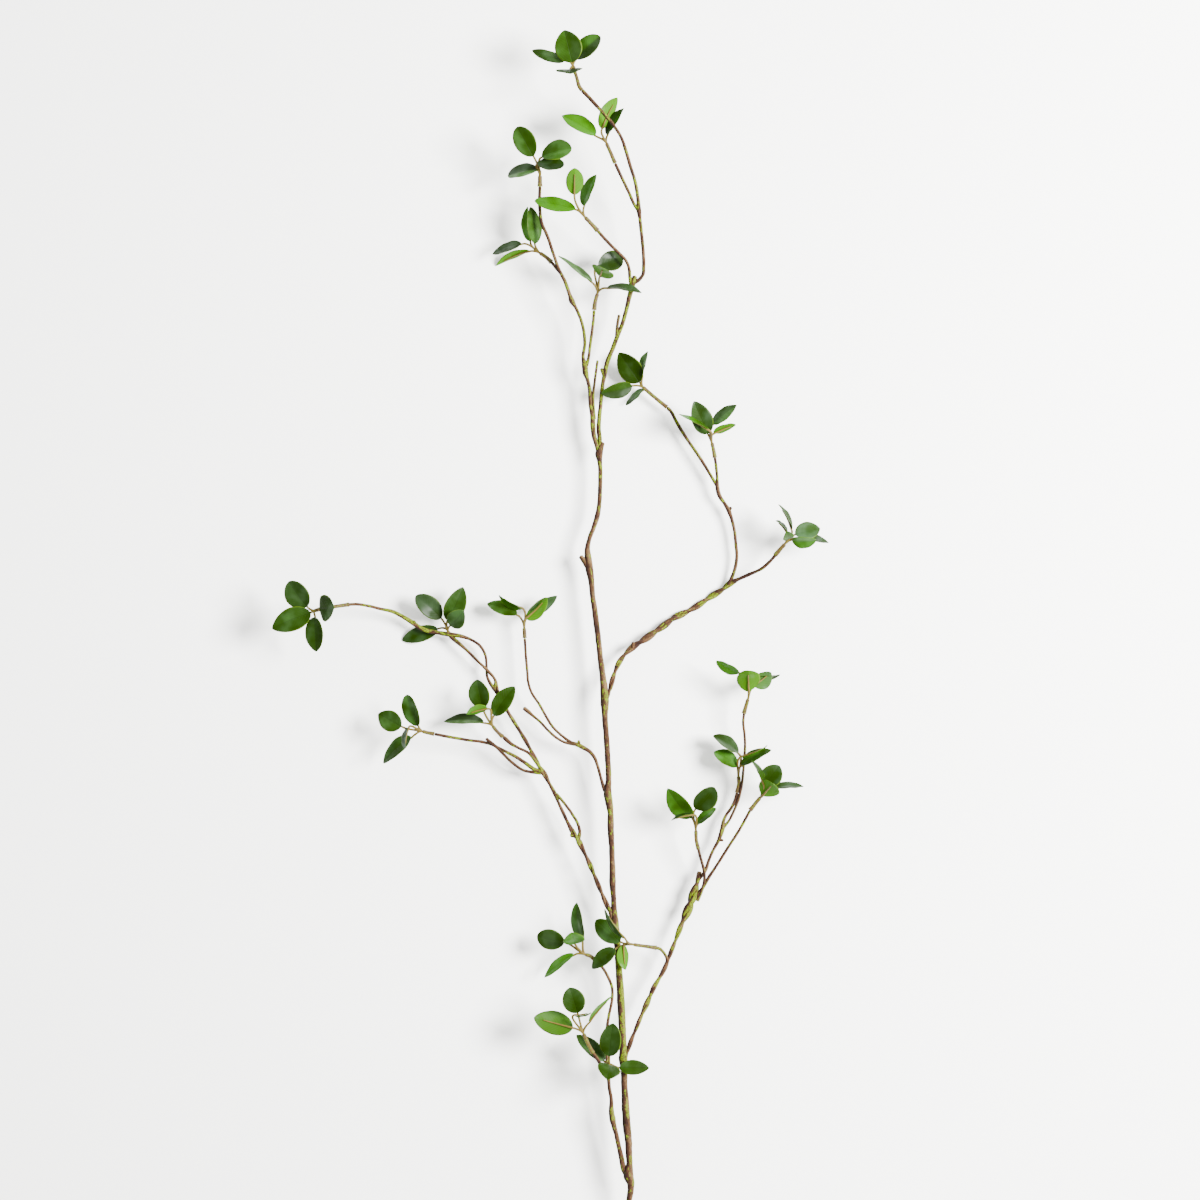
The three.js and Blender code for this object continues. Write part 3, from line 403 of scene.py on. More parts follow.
smallLeftBranch = {
    "routes": [
        [[45.6, -96, 20.2, 1.5], [42.8, -89.6, 19.8, 1.4], [40.6, -82, 19.4, 1.1],
         [38, -72.6, 19, 1.1], [35, -65, 18.7, 1.2], [31, -60.6, 18.4, 1.3],
         [27, -58.4, 18.2, 1.5], [22.6, -56, 18, 1.6], [17.4, -54.2, 18, 1.2],
         [10.6, -49.4, 17.8, 0.9], [2.6, -42, 17.4, 0.9], [-2.4, -34.4, 17, 0.9],
         [-8.6, -23.4, 16.6, 0.9], [-14.6, -14.4, 16, 0.9], [-17.4, -6, 15.6, 0.9],
         [-18.2, 3, 15.2, 0.9], [-19.2, 14, 15, 0.9], [-20.2, 29.6, 14.8, 0.9]],
        [[23.6, -56.6, 18, 1.1], [22.8, -52, 19, 0.8]],
        [[20, -55.6, 18, 1.1], [12.6, -54.2, 18.4, 0.9], [6, -50.8, 18.8, 0.9],
         [-1.6, -44.2, 19.2, 0.9], [-8.6, -36.8, 19.6, 0.9], [-14.6, -31.8, 19.8, 1],
         [-17, -29.6, 20, 1.4], [-21.4, -26, 20.2, 1.3]]],
    "moss": [[24, -56, 7, 0.4]],
    "laid": [],
}

leftBranch = {
    "routes": [
        [[51.4, -197, 21.4, 2.2], [48.6, -190.4, 21.2, 2.2], [45, -183, 20.9, 1.8],
         [40.6, -172.6, 20.4, 1.7], [36, -161.6, 20, 1.7], [31.6, -151, 19.5, 1.8],
         [28, -143.4, 19.2, 1.4], [25.4, -138, 19, 1.7], [23, -133, 18.9, 2.4],
         [19.4, -127.4, 18.8, 2], [15.4, -120.4, 18.4, 1.4], [11.4, -112, 18, 1.3],
         [7.2, -103, 17.7, 1.1], [3.6, -94.4, 17.4, 1.4], [-0.8, -86.4, 17.2, 1.4],
         [-4.6, -79, 17, 1.9], [-8.4, -73, 16.6, 1.8], [-13.6, -63.4, 16.2, 1.4],
         [-20.2, -51.4, 15.6, 1.4], [-27.4, -39.6, 15, 1.3], [-34.4, -28.4, 14.4, 1.4],
         [-40.4, -17.4, 13.8, 1.5], [-43.2, -11.4, 13.4, 2.1], [-43.6, -5, 13, 1.2],
         [-50.4, 4, 12.4, 1], [-58, 11.2, 11.4, 1], [-66, 19.2, 10.6, 1.1],
         [-73.6, 26, 10, 1.3], [-80.4, 31.4, 9.8, 1.8]],
        [[20.4, -128.4, 18.8, 1.7], [15.8, -128, 18.8, 1.4]],
        [[22.6, -131.6, 18.9, 1.7], [23.8, -126, 19, 1.1], [22.4, -119.4, 18.8, 1],
         [17.6, -111, 18.4, 1], [11, -102, 18, 1], [4.6, -94.6, 17.6, 1.1]],
        [[-43, -13, 13.4, 1.4], [-47.2, -7.6, 12.8, 1.2], [-50.2, -1.4, 10.2, 0.9],
         [-50.8, 7.6, 9, 0.9], [-51.6, 15.4, 9, 0.9], [-56, 23.4, 9.2, 1], [-63, 28.2, 9.4, 1],
         [-71, 31, 9.8, 1.4], [-80, 32.4, 10, 1.8], [-89, 33.8, 10, 1.5], [-98, 35.2, 10, 1.5],
         [-104.4, 38, 10.4, 1.7], [-111, 42.6, 11, 1.6], [-118.6, 47.2, 12.6, 1.3],
         [-126, 50.8, 15, 1.4], [-135, 52.8, 18.6, 1], [-146, 55.4, 24, 1],
         [-154, 56.6, 28, 1], [-161, 56.4, 31.2, 1]],
        [[-107, 39.6, 10.6, 1.2], [-109.4, 43.6, 12.4, 1]],
        [[-6, -77, 17, 1.5], [-11.4, -69.4, 18.2, 1], [-17.4, -62.2, 19.2, 1],
         [-25, -58.4, 19.8, 1], [-31, -55, 20.2, 1.2], [-36, -50.8, 20.4, 1.5],
         [-37.8, -49.4, 20.5, 1.1]],
        [[-5.6, -78, 17, 1.7], [-12.6, -75.4, 17.4, 1.5], [-20, -70.2, 18, 1.3],
         [-27.4, -65.4, 18.8, 1.2], [-34, -62, 19.6, 1.1], [-41, -58.4, 20.6, 1],
         [-47, -55.4, 21.4, 1], [-54, -53.6, 22.2, 1], [-66, -52, 23.4, 1],
         [-80, -49.6, 24.8, 1], [-92.6, -47.2, 26, 1]],
        [[-6.4, -78.4, 17, 1.3], [-15, -77.6, 16.8, 1.1], [-21.4, -76.2, 16.8, 1],
         [-28.6, -71.4, 17.2, 1], [-35.6, -65, 18.6, 1], [-42.4, -58, 22.4, 1.1],
         [-51.4, -50.6, 25, 1.1]]],
    "moss": [[21, -130, 8, 0.7], [-7, -74, 12, 0.9], [5, -95, 10, 0.7], [-42, -12, 7, 0.6],
             [-72, 29, 6, 0.7], [-84, 33, 9, 1], [-98, 36, 9, 1], [-112, 43, 9, 1],
             [-124, 50, 8, 0.9]],
    "laid": [0],
}

lowerRightBranch = {
    "routes": [
        [[58.8, -309, 24, 1.7], [62, -301, 23.4, 1.8], [65.4, -291, 22.4, 1.6],
         [69.8, -280.4, 21.4, 1.5], [74, -270.4, 20.6, 1.6], [77.6, -262.6, 20, 2],
         [79.8, -257.4, 19.6, 2.1], [83, -250, 19, 1.8], [87.4, -242.6, 18.4, 1.6],
         [91.6, -235, 17.8, 1.6], [94.4, -228, 17.2, 1.7], [98, -218.4, 16.4, 1.6],
         [101.6, -209, 15.6, 1.8], [105.2, -199.6, 15, 2.1], [108.6, -192, 14.6, 2.9],
         [111.4, -185.4, 14.4, 3.7], [114, -178, 14.2, 3.5], [116.4, -170.6, 14.2, 2.9],
         [118.4, -163.6, 14.2, 1.9], [119.6, -157, 14.2, 1.5]],
        [[94, -230.6, 17.4, 1.3], [93, -225.6, 20, 1], [90.4, -221.4, 22.6, 1],
         [87.8, -219, 24, 1], [85, -218.2, 24.8, 1]],
        [[117.4, -181, 14.6, 1.6], [120.6, -174.4, 15.6, 1.2], [123, -167, 17, 1],
         [123.6, -160.6, 18.4, 1], [122.6, -154, 19.8, 1], [120.4, -146, 21.6, 1],
         [118.6, -139, 23.2, 1]],
        [[115.6, -172, 15.6, 1.5], [119, -163.6, 15, 1.3], [122.4, -159.4, 13.6, 1.1],
         [124.6, -155.6, 13, 1.3], [127, -148.4, 12.6, 1], [130.6, -140, 12.4, 1],
         [134.4, -133, 12.2, 1.2], [136.4, -128, 12.2, 1.6], [138.2, -121.6, 12.2, 1.8],
         [138.8, -116.6, 12.2, 1.2], [141, -111.8, 12.2, 1], [144.8, -106.6, 12.2, 1.1],
         [148.2, -100, 12.2, 1.2], [149.8, -94, 12.2, 1.1]],
        [[135, -131.6, 12.2, 1.2], [139, -132.4, 12.4, 0.8]],
        [[138.2, -122.6, 12.2, 1.2], [143.2, -116.4, 13, 0.9], [147.4, -108, 13.6, 0.9],
         [150.6, -100, 14, 0.9], [153, -90, 14.2, 0.9], [154.4, -79, 14.4, 0.9],
         [155.2, -69, 14.6, 0.9], [156, -58, 15.6, 0.9], [155.6, -47, 17.6, 0.9],
         [154.6, -38, 19.6, 0.9], [155.2, -30.6, 21.4, 0.9]],
        [[117.6, -177, 14.4, 1.7], [122.4, -170, 15.4, 1.2], [126.6, -162.6, 16.4, 1.3],
         [131.6, -155, 17.4, 1], [138.6, -144, 18.8, 1], [145.6, -133, 20, 1],
         [152, -123, 21.4, 1], [156.4, -115, 22.4, 1], [160.2, -108, 23.2, 1]]],
    "moss": [[80, -257, 8, 0.9], [86, -244, 6, 0.7], [99, -214, 8, 0.6], [104, -203, 9, 0.9],
             [109, -191, 12, 1], [113, -179, 12, 1], [118, -168, 8, 0.7], [137, -123, 8, 0.9],
             [89, -219, 7, 0.7]],
    "laid": [0],
}

lowerLeftBranch = {
    "routes": [
        [[62, -402, 24, 1.9], [58.8, -395, 24, 2], [57.2, -386, 24.2, 1.9],
         [55.2, -378, 24.5, 1.7], [53, -367.6, 25, 1.6], [51.2, -360.6, 25.3, 1.8],
         [50, -355, 25.6, 2.4], [49, -347, 26, 1.8], [49, -339.6, 26.6, 1.3],
         [47.4, -330, 27.4, 1.3], [46.6, -320, 28, 1.5], [45.6, -310, 28, 1.1],
         [45, -298, 27.8, 1], [45.4, -285, 27.6, 1], [47, -273, 27.2, 1],
         [49.6, -259.6, 27, 1], [49.6, -250, 26.6, 1], [46.4, -241.6, 26, 1],
         [41.6, -233.6, 25.4, 1], [36, -228, 24.8, 1]],
        [[46.8, -321, 28, 1.3], [42.2, -314, 32.4, 1.1], [37.6, -307, 36.6, 1.2],
         [34, -302, 39.6, 1.1]],
        [[46.6, -319, 28.4, 1.2], [47.2, -315.6, 30.6, 1.1]]],
    "moss": [[49, -347, 6, 1]],
    "laid": [],
}

sprig = {
    "sides": 14,
    "ringStep": 0.0005,
    "stalkSides": 8,
    "stalkStep": 0.0007,
    "stalkRadius": [0.001, 0.00085, 0.0004],    # at the hub, the blade's base, the rib's end
    "ribShare": 0.76,                            # of the blade that the tan rib runs under
    "stalkSunk": 0.0008,
    "wider": 0.0003,     # the sleeve's radius beyond its stations'
    "cupLip": 0.18, "cupReach": 0.0012,          # swelling at the hub
    "lipReach": 0.0008,
    "markUnit": 0.002,
    "lip": 0.14,                                 # flare where it sits on the twig
    "tan": "#4a3a14", "pink": "#3a2a12", "gold": "#544616", "shade": "#22180c", "lime": "#465602",
}

leaf = {
    "rows": 40,
    "halfColumns": 15,
    "thickness": 0.0004,
    "fold": 0.22,       # rise of a blade's halves from its rib, per unit of width
    "arch": 0.055,      # height of a blade's arch, as a share of its length
    "ripple": 0.0002,   # height of the waves along its edge
    "twist": 0.16,      # turn from base to tip, in radians, at most
    "crowd": 0.1,       # how far the rows move towards the base and the tip
    "atBase": 0.6,      # power of u in the outline
    "atTip": 0.85, "atTipBlunt": 0.35,  # power of 1 - u, less this share of bluntness
    "edge": 0.0001,     # least half width
    "foldRound": 0.02,  # rounds the fold at the rib
    "waves": [9, 17],   # ripples along the edge, in radians a blade
    "sway": 0.02,       # sideways bow, as a share of the length
    # the bluish grey stands for a dusty tint and for painted sheen
    "dark": "#0e1c00", "green": "#172c00", "lime": "#285400", "dustAndSheen": "#38493f",
    "under": "#264400", "underLime": "#335c00", "rim": "#4a6014",
}


def leafFrame(ends):
    # along the rib, then level to its left rolled about it, then up from the blade
    base, tip = place([ends[0:3], ends[3:6]])
    width, roll = ends[6] / 1000, np.radians(ends[7])
    bow = ends[8] if len(ends) > 8 else 1
    length = np.linalg.norm(tip - base)
    along = (tip - base) / length
    level = unit(np.array([-along[1], along[0], 0]))
    side = level * np.cos(roll) + np.cross(along, level) * np.sin(roll)
    return base, along, side, np.cross(along, side), length, width, bow


def spine(frameOfLeaf, u):
    # base + along * length * u + up * 4 * arch * bow * length * u * (1 - u)
    base, along, _, up, length, _, bow = frameOfLeaf
    rise = 4 * leaf["arch"] * bow * length * u * (1 - u)
    return base + np.multiply.outer(length * u, along) + np.multiply.outer(rise, up)


def blade(ends, look, rng):
    # half width = width / 2 * u^atBase * (1 - u)^tip, scaled to 1 at its widest; halves rise
    # by fold * half * |v| and ripple by sin(waves * u) * v^2, and the blade thins to its edge
    frameOfLeaf = leafFrame(ends)
    _, _, side, up, length, width, bow = frameOfLeaf
    tone, dustAndSheen, blunt, paintedFoldShade = look
    u = np.linspace(0, 1, leaf["rows"])
    u = u - leaf["crowd"] * np.sin(2 * np.pi * u) / (2 * np.pi)
    half = u**leaf["atBase"] * (1 - u)**(leaf["atTip"] - leaf["atTipBlunt"] * blunt)
    half = width / 2 * half / half.max() + leaf["edge"]
    v = np.linspace(1, -1, leaf["halfColumns"] + 2)
    face = np.concatenate([np.ones(len(v)), -np.ones(len(v) - 2)])
    v = np.concatenate([v, v[-2:0:-1]])
    thin = np.sqrt(np.clip(1 - v**4, 0, 1)) * face
    u2, v2 = np.meshgrid(u, v, indexing="ij")
    half2 = half[:, None]
    turn = leaf["twist"] * rng.uniform(-1, 1) * (u2 - 0.5)
    phase = rng.uniform(0, 6.28, 3)
    soft = np.sqrt(v2**2 + leaf["foldRound"]) - np.sqrt(leaf["foldRound"])
    rise = half2 * soft * leaf["fold"] * bow
    slow, quick = leaf["waves"]
    rise += leaf["ripple"] * v2**2 * (np.sin(slow * u2 + phase[0] + 1.3 * np.sign(v2))
                                      + 0.6 * np.sin(quick * u2 + phase[1]))
    rise += leaf["thickness"] / 2 * thin[None]
    across = half2 * v2
    sway = leaf["sway"] * length * np.sin(np.pi * u2) * np.sin(phase[2])
    points = (spine(frameOfLeaf, u)[:, None] + (across * np.cos(turn) + sway)[..., None] * side
              + (rise + across * np.sin(turn))[..., None] * up)
    points[..., 2] = np.maximum(points[..., 2], 0.0001)
    top = np.broadcast_to((face > 0).astype(float), u2.shape)
    veins = np.stack([u2 * length, across, np.abs(v2)], axis=-1) * [1000, 1000, 1]
    # painted light and shade across the fold: the left half is lighter by the last look and the
    # right half darker by as much
    tones = tone + paintedFoldShade * np.tanh(6 * v2)
    looks = np.stack([tones, np.full(u2.shape, dustAndSheen), top], axis=-1)
    return points, {"veins": veins, "looks": looks}


def stalk(hub, heading, ends, seed):
    # Hermite curve from the hub, setting off along the sleeve, to the blade's base, then on
    # under the blade as its rib
    frameOfLeaf = leafFrame(ends)
    base, along, side, up = frameOfLeaf[:4]
    reach = np.linalg.norm(base - hub)
    t = np.linspace(0, 1, 9)[:-1, None]
    atHub, atBlade, atEnd = sprig["stalkRadius"]
    below = leaf["thickness"] / 2 + atBlade
    start, end = hub - sprig["stalkSunk"] * heading, base - below * up
    curve = ((2 * t**3 - 3 * t**2 + 1) * start + (t**3 - 2 * t**2 + t) * heading * reach
             + (3 * t**2 - 2 * t**3) * end + (t**3 - t**2) * along * reach)
    u = np.linspace(0, sprig["ribShare"], 7)
    below = below + (atEnd - atBlade) * u[:, None] / u[-1]
    rib = spine(frameOfLeaf, u) - below * up
    path, at, _ = smoothPath(np.vstack([curve, rib]), sprig["stalkStep"])
    radius = np.interp(at, [0, lengths(np.vstack([curve, rib[:1]]))[-1], at[-1]],
                       [atHub, atBlade, atEnd])
    plane = np.cross(heading, along)
    plane = unit(plane) if np.linalg.norm(plane) > 0.3 else side
    turn = np.arange(sprig["stalkSides"]) * 2 * np.pi / sprig["stalkSides"]
    s, t = np.meshgrid(at, turn, indexing="ij")
    rings, out = tube(path, radius[:, None] * (1 + 0.12 * speckle(t, s, 3, 0.003, seed)),
                      turn, plane)
    return rings, sprigMarks(s, t, radius, seed, 1)


def sleeve(stations, seed):
    # station radii eased along the way, times 1 + lumps, with a flared lip on the twig
    points = place(stations)
    path, at, along = smoothPath(points, sprig["ringStep"])
    radius = np.interp(at, along, np.array(stations)[:, 3] / 1000) + sprig["wider"]
    radius *= (1 + sprig["lip"] * np.exp(-at / sprig["lipReach"])
               + sprig["cupLip"] * np.exp(-(at[-1] - at) / sprig["cupReach"]))
    inward = np.clip((at[-1] - at) / radius[-1], 0, 1)
    radius *= np.sqrt(np.clip(1 - (1 - inward)**2, 0.02, 1))
    turn = np.arange(sprig["sides"]) * 2 * np.pi / sprig["sides"]
    s, t = np.meshgrid(at, turn, indexing="ij")
    relief = 0.12 * speckle(t, s, 4, 0.004, seed) + 0.08 * speckle(t, s, 9, 0.006, seed + 1)
    rings, out = tube(path, radius[:, None] * (1 + relief), turn, np.array([0, 0, 1.0]))
    return rings, sprigMarks(s, t, radius, seed, 0)


def sprigMarks(s, t, radius, seed, isStalk):
    # place on the straightened stalk, in units of 2 mm, and whether it is a stalk
    straight = np.stack([np.cos(t), np.sin(t), s / sprig["markUnit"]], axis=-1)
    straight[..., :2] *= np.maximum(radius, 0.0003)[:, None, None] / sprig["markUnit"]
    straight[..., 2] += seed * 5.1
    return {"straight": straight, "isStalk": np.full(t.shape, float(isStalk))}


# Each spray, from the top down: its sleeve, as x, y, z and radius; its leaves, as the base,
# the tip, the width, the roll in degrees (positive leans the blade to the right) and the
# share of the bow; and each leaf's looks, as tone (its own green, raised on a few leaves that
# face away from the lamp as painted light), dust with painted sheen, bluntness and painted
# shade across the fold
sprays = [
    {"sleeve": [[25.4, 468, 50, 1.3], [23.6, 470.4, 50, 1.3], [21.6, 477, 50, 1.1],
                [18.4, 487.5, 50, 1.2]],
     "leaves": [[17.8, 490, 50.6, 11.4, 516, 54, 21.5, -8],
                [12.5, 492, 50.4, -14.5, 499.6, 46, 11, -50, 0.2],
                [20.5, 493, 50.6, 40.3, 511, 56, 17, -25],
                [15.6, 484.6, 54, 16, 481, 76, 21, 0, 0.5]],
     "looks": [[0.4, 0.1, 0.3, 0.1], [0.5, 0.3, 0.5, 0], [0.4, 0.2, 0.7, 0.15],
               [0.3, 0.3, 0.5, 0]]},
    {"sleeve": [[52, 409.6, 37.6, 1.4], [48.6, 417.6, 38, 1.2], [45, 426, 38, 1.1]],
     "leaves": [[36.6, 432, 38, 9.5, 447.5, 34, 17, 36],
                [41, 437, 39.6, 54, 462, 43, 13.5, -140],
                [45.3, 432.2, 38, 59, 453.5, 40, 12, -45]],
     "looks": [[0.95, 0.1, 0.2, 0.1], [0.8, 0.1, 0.4, 0], [0.4, 0.2, 0, -0.2]]},
    {"sleeve": [[-8.1, 391, 39, 1.6], [-8.1, 396, 40.6, 1.4], [-8, 400, 42.4, 1.3]],
     "leaves": [[-13.4, 415, 47, -26.5, 438.5, 50, 17, -14],
                [-6.6, 415, 49, 17.5, 421.6, 52, 20, -34],
                [-10, 409.4, 49, 11.4, 408, 52, 14, -32, 0.6],
                [-9, 404.6, 45, -33.8, 399, 41, 17, 46]],
     "looks": [[0.45, 0.2, 0.8, 0], [0.55, 0.2, 0.9, -0.1], [0.15, 0.5, 0.8, 0.1],
               [0.35, 0.4, 0.9, 0.35]]},
    {"sleeve": [[38, 355.6, 38.5, 1.5], [33.4, 360.6, 40.6, 1.2], [27.8, 366.5, 43, 1.2]],
     "leaves": [[19.5, 384, 46, 19.6, 405.6, 54, 14, 180],
                [20.4, 373, 45, -12.4, 379.6, 41, 14, 30, 0.4],
                [26.6, 375.4, 46, 37, 400.4, 49, 14, -48]],
     "looks": [[0.8, 0.1, 0.5, 0], [0.9, 0.2, 0.6, 0.1], [0.8, 0.2, 0.2, -0.2]]},
    {"sleeve": [[1, 330.5, 26, 1.6], [-3.4, 334.4, 24, 1.3], [-8.3, 337.7, 22, 1.2]],
     "leaves": [[-11.6, 345, 23.6, -15.6, 374.6, 31, 14, 36, 0.6],
                [-16.6, 347, 22, -18, 374.6, 26, 12, -50],
                [-23, 345.4, 22, -46, 336.6, 17, 12, 46, 0.5],
                [-16.6, 339.7, 20, -43.2, 327.3, 0.5, 9.5, 120]],
     "looks": [[0.5, 0.1, 0.3, 0], [0.95, 0, 0.3, -0.2], [0.15, 0.5, 0.3, 0],
               [0.8, 0.1, 0.3, 0]]},
    {"sleeve": [[35.3, 292, 24.6, 1.5], [36.2, 298.6, 25, 1.3], [38, 305.5, 25.6, 1.2]],
     "leaves": [[34, 315, 29, 6.6, 335.4, 32, 14, 66, 0.3],
                [40, 318.6, 33, 42.4, 325.6, 54, 19, 180, 0.5],
                [38.6, 327.4, 27, 58, 333.6, 19, 16, 0],
                [46, 310.4, 32, 73.4, 305.6, 34, 13, -58]],
     "looks": [[0.65, 0.15, 0.2, 0], [0.7, 0.2, 0.8, 0], [0.15, 0.3, 0.9, 0],
               [0.3, 0.4, 0.3, 0]]},
    {"sleeve": [[93.6, 214.2, 9.9, 1.4], [84, 222, 9.9, 1.2], [74, 230.5, 10, 1.2]],
     "leaves": [[71.6, 234, 11, 55, 258, 13, 19, -16], [73, 238, 12, 78.5, 259, 18, 12, -62],
                [65.6, 231, 12, 40.6, 225.2, 25, 13, -22, 0.5],
                [74.6, 229, 9.4, 60.6, 215.8, 3.6, 10, 56, 0.3]],
     "looks": [[0.15, 0, 0.1, 0], [0.7, 0.2, 0.3, 0], [0.2, 0.1, 0.2, -0.15],
               [0.5, 0.4, 0.3, 0]]},
    {"sleeve": [[131.9, 174, 15.4, 1.4], [130.8, 180, 16.8, 1.2], [129.4, 186, 18.4, 1.2]],
     "leaves": [[126.4, 193, 21, 115, 219, 31, 17, 10],
                [130, 201, 23, 149.5, 216, 29, 13, -42, 0.5],
                [127, 197, 32, 103, 208.5, 38, 10, 68, 0.5],
                [130.6, 193.6, 24, 148.6, 200.4, 27, 9.5, -128, 0.5]],
     "looks": [[0.35, 0.5, 0.3, 0.1], [0.5, 0.4, 0.2, -0.15], [0.7, 0.1, 0.5, 0],
               [0.5, 0.1, 0.2, 0]]},
    {"sleeve": [[180.4, 96, 22.6, 1.5], [184, 100.4, 25.2, 1.3], [188, 105, 28, 1.2]],
     "leaves": [[194, 117, 33, 182.6, 136.4, 38, 13, 74],
                [190, 115, 34, 180.6, 123.6, 37, 10, 74],
                [190.6, 108.6, 32, 189.6, 115, 49, 9, 0],
                [196, 112.6, 33, 216, 117.4, 27, 15, -22],
                [193.6, 107.4, 31, 213, 108, 35, 13, 46],
                [200, 110.4, 28, 223, 105.6, 25, 11, -58]],
     "looks": [[0.4, 0.9, 0.2, 0], [0.4, 0.9, 0.2, 0], [0.65, 0.1, 0.6, 0], [0.5, 1, 0.3, 0],
               [0.65, 0.2, 0.5, 0], [0.3, 0.8, 0.4, 0]]},
    {"sleeve": [[-161, 56.4, 31.2, 1.3], [-174, 54.4, 36, 1.1], [-189, 51.4, 40, 1.2]],
     "leaves": [[-194.5, 54.4, 40.6, -209, 75, 43, 20, -18],
                [-191.4, 50, 40, -222.4, 37, 38, 18.5, 0],
                [-188.4, 46.4, 40, -187, 18.6, 37, 16, 22],
                [-184.4, 53.6, 41.6, -172.6, 54.2, 60, 21, 0, 0.6]],
     "looks": [[0.3, 0.3, 0.6, 0], [0.4, 0.2, 0.2, 0], [0.3, 0.2, 0.3, 0], [0.45, 0.3, 0.7, 0]]},
    {"sleeve": [[-81.1, 33.6, 12.1, 1.3], [-81.8, 35.4, 12.8, 1.2]],
     "leaves": [[-87, 45.4, 14, -107.4, 63.6, 17, 16, 10],
                [-82, 43.4, 14, -69.6, 70.4, 19, 16.5, 14],
                [-80, 39.6, 17, -68.8, 51.4, 27, 15, 0],
                [-89.6, 37, 5, -118.4, 27.8, 0.3, 12.5, 0]],
     "looks": [[0.15, 0.4, 0.6, 0], [0.35, 0.2, 0.3, 0], [0.4, 0.4, 0.4, 0], [0.3, 0.5, 0.3, 0]]},
    {"sleeve": [[-20.2, 29.6, 14.8, 1.3], [-20.6, 38, 15.4, 1.1]],
     "leaves": [[-26.4, 48.6, 17, -50.4, 57, 14, 14, 36],
                [-22.6, 52.6, 20, -41, 64, 24, 11, -64],
                [-19, 44.6, 20, -2.4, 62, 23, 15, 138],
                [-16, 49, 16, 5.8, 63.4, 18, 10, 20, 0.5]],
     "looks": [[0.5, 0.2, 0.2, 0], [0.8, 0.2, 0.1, 0], [0.9, 0.1, 0.3, 0], [0.35, 0.7, 0.2, 0]]},
    {"sleeve": [[-37.8, -49.4, 20.5, 1.4], [-41.4, -46.2, 21, 1.1], [-46, -40.6, 21.6, 1.1]],
     "leaves": [[-54, -26.4, 24, -58.4, -3.6, 27, 17.5, -18],
                [-45, -32.4, 23.6, -28.2, -9.2, 24, 15, -12],
                [-53, -37.6, 21.6, -85, -37.4, 15, 14, 56],
                [-50, -26.4, 27, -67, -31.4, 28, 11, 132]],
     "looks": [[0.35, 0.2, 0.6, 0], [0.4, 0.2, 0.3, 0], [0.2, 0.2, 0.2, 0.3],
               [0.65, 0.2, 0.4, 0]]},
    {"sleeve": [[-92.6, -47.2, 26, 1.3], [-97.6, -46.2, 26.4, 1.1], [-102.5, -45, 27, 1.1]],
     "leaves": [[-119, -41.4, 28, -137.4, -31, 26, 17, -12],
                [-106, -41, 28, -114.4, -15.6, 32, 15, -32],
                [-111, -49.4, 27, -133.4, -70.6, 19, 15, 42],
                [-114, -42, 31, -116, -59, 36, 12, 68]],
     "looks": [[0.4, 0.2, 0.3, 0], [0.5, 0.3, 0.8, 0], [0.5, 0.4, 0.2, 0], [0.4, 0.9, 0.2, 0]]},
    {"sleeve": [[155.2, -30.6, 21.4, 1.5], [156.8, -24.6, 23, 1.2], [158.5, -19, 24.6, 1.2]],
     "leaves": [[151, 1, 30, 133, 11.4, 35, 13, -52, 0.6],
                [159, -13.4, 28, 158.6, 3.6, 46, 18.5, 180],
                [163, -9, 27, 177, 2, 25, 14, 160], [167, -1.4, 22, 184, 0.2, 21, 10, 66]],
     "looks": [[0.95, 0.1, 0.3, 0], [0.6, 0.1, 0.6, 0], [0.4, 0.5, 0.4, 0], [0.3, 0.4, 0.2, 0]]},
    {"sleeve": [[149.8, -94, 12.2, 1.5], [151, -87.5, 12.6, 1.3], [150.7, -80.6, 13, 1.2]],
     "leaves": [[151, -62, 17, 130.4, -48.6, 20, 14, 48],
                [150, -73, 15.6, 131, -61.6, 15, 15, 40],
                [153, -72, 19.4, 177, -60, 22, 13, -52], [153.6, -66, 20, 174, -56, 24, 10, 74]],
     "looks": [[0.2, 0.4, 0.4, 0], [0.65, 0.2, 0.5, 0], [0.5, 0.3, 0.3, 0], [0.75, 0.3, 0.2, 0]]},
    {"sleeve": [[160.2, -108, 23.2, 1.5], [164.4, -102.6, 24.4, 1.3], [168.5, -97.6, 25.6, 1.2]],
     "leaves": [[170.4, -84, 36, 161, -68.4, 33, 11, 66],
                [171.6, -88, 29, 183.6, -72.4, 31, 17, 0],
                [170, -96.6, 28, 178.6, -87, 45, 17.5, 180],
                [180, -90, 28, 203, -89.4, 27, 11, -64]],
     "looks": [[0.4, 0.3, 0.2, 0], [0.35, 0.9, 0.5, 0], [0.6, 0.1, 0.6, 0], [0.35, 0.7, 0.2, 0]]},
    {"sleeve": [[118.6, -139, 23.2, 1.3], [117, -131.6, 25, 1.1], [116.7, -124, 27, 1.1]],
     "leaves": [[113, -114.4, 30, 94, -90.6, 36, 17, -22],
                [116.6, -107.6, 33, 131.6, -89.8, 39, 18, 18],
                [117.6, -119, 29, 133, -106.6, 31, 10.5, -50],
                [113.6, -111, 36, 97, -116.5, 40, 8, 80]],
     "looks": [[0.6, 0.2, 0.1, 0], [0.15, 0.3, 0.7, 0], [0.65, 0.3, 0.5, 0], [0.4, 0.6, 0.3, 0]]},
    {"sleeve": [[36, -228, 24.8, 1.4], [32.4, -225, 24.6, 1.2], [28, -223.5, 24.6, 1.2]],
     "leaves": [[25.4, -213, 26, 21.4, -182, 32, 14, -44, 0.7],
                [11.6, -214, 24, -10.4, -208.6, 20, 16, 0],
                [19.6, -215, 30, 17.6, -206, 48, 17, 0, 0.6],
                [19, -223.4, 24, -4.4, -242, 13, 11.8, 56]],
     "looks": [[0.55, 0.2, 0.1, 0], [0.25, 0.2, 0.7, 0], [0.8, 0.1, 0.5, 0],
               [0.95, 0.1, 0.3, 0]]},
    {"sleeve": [[85, -218.2, 24.8, 1.4], [76.6, -217, 27.6, 1.1], [66.5, -215.6, 30, 1.1]],
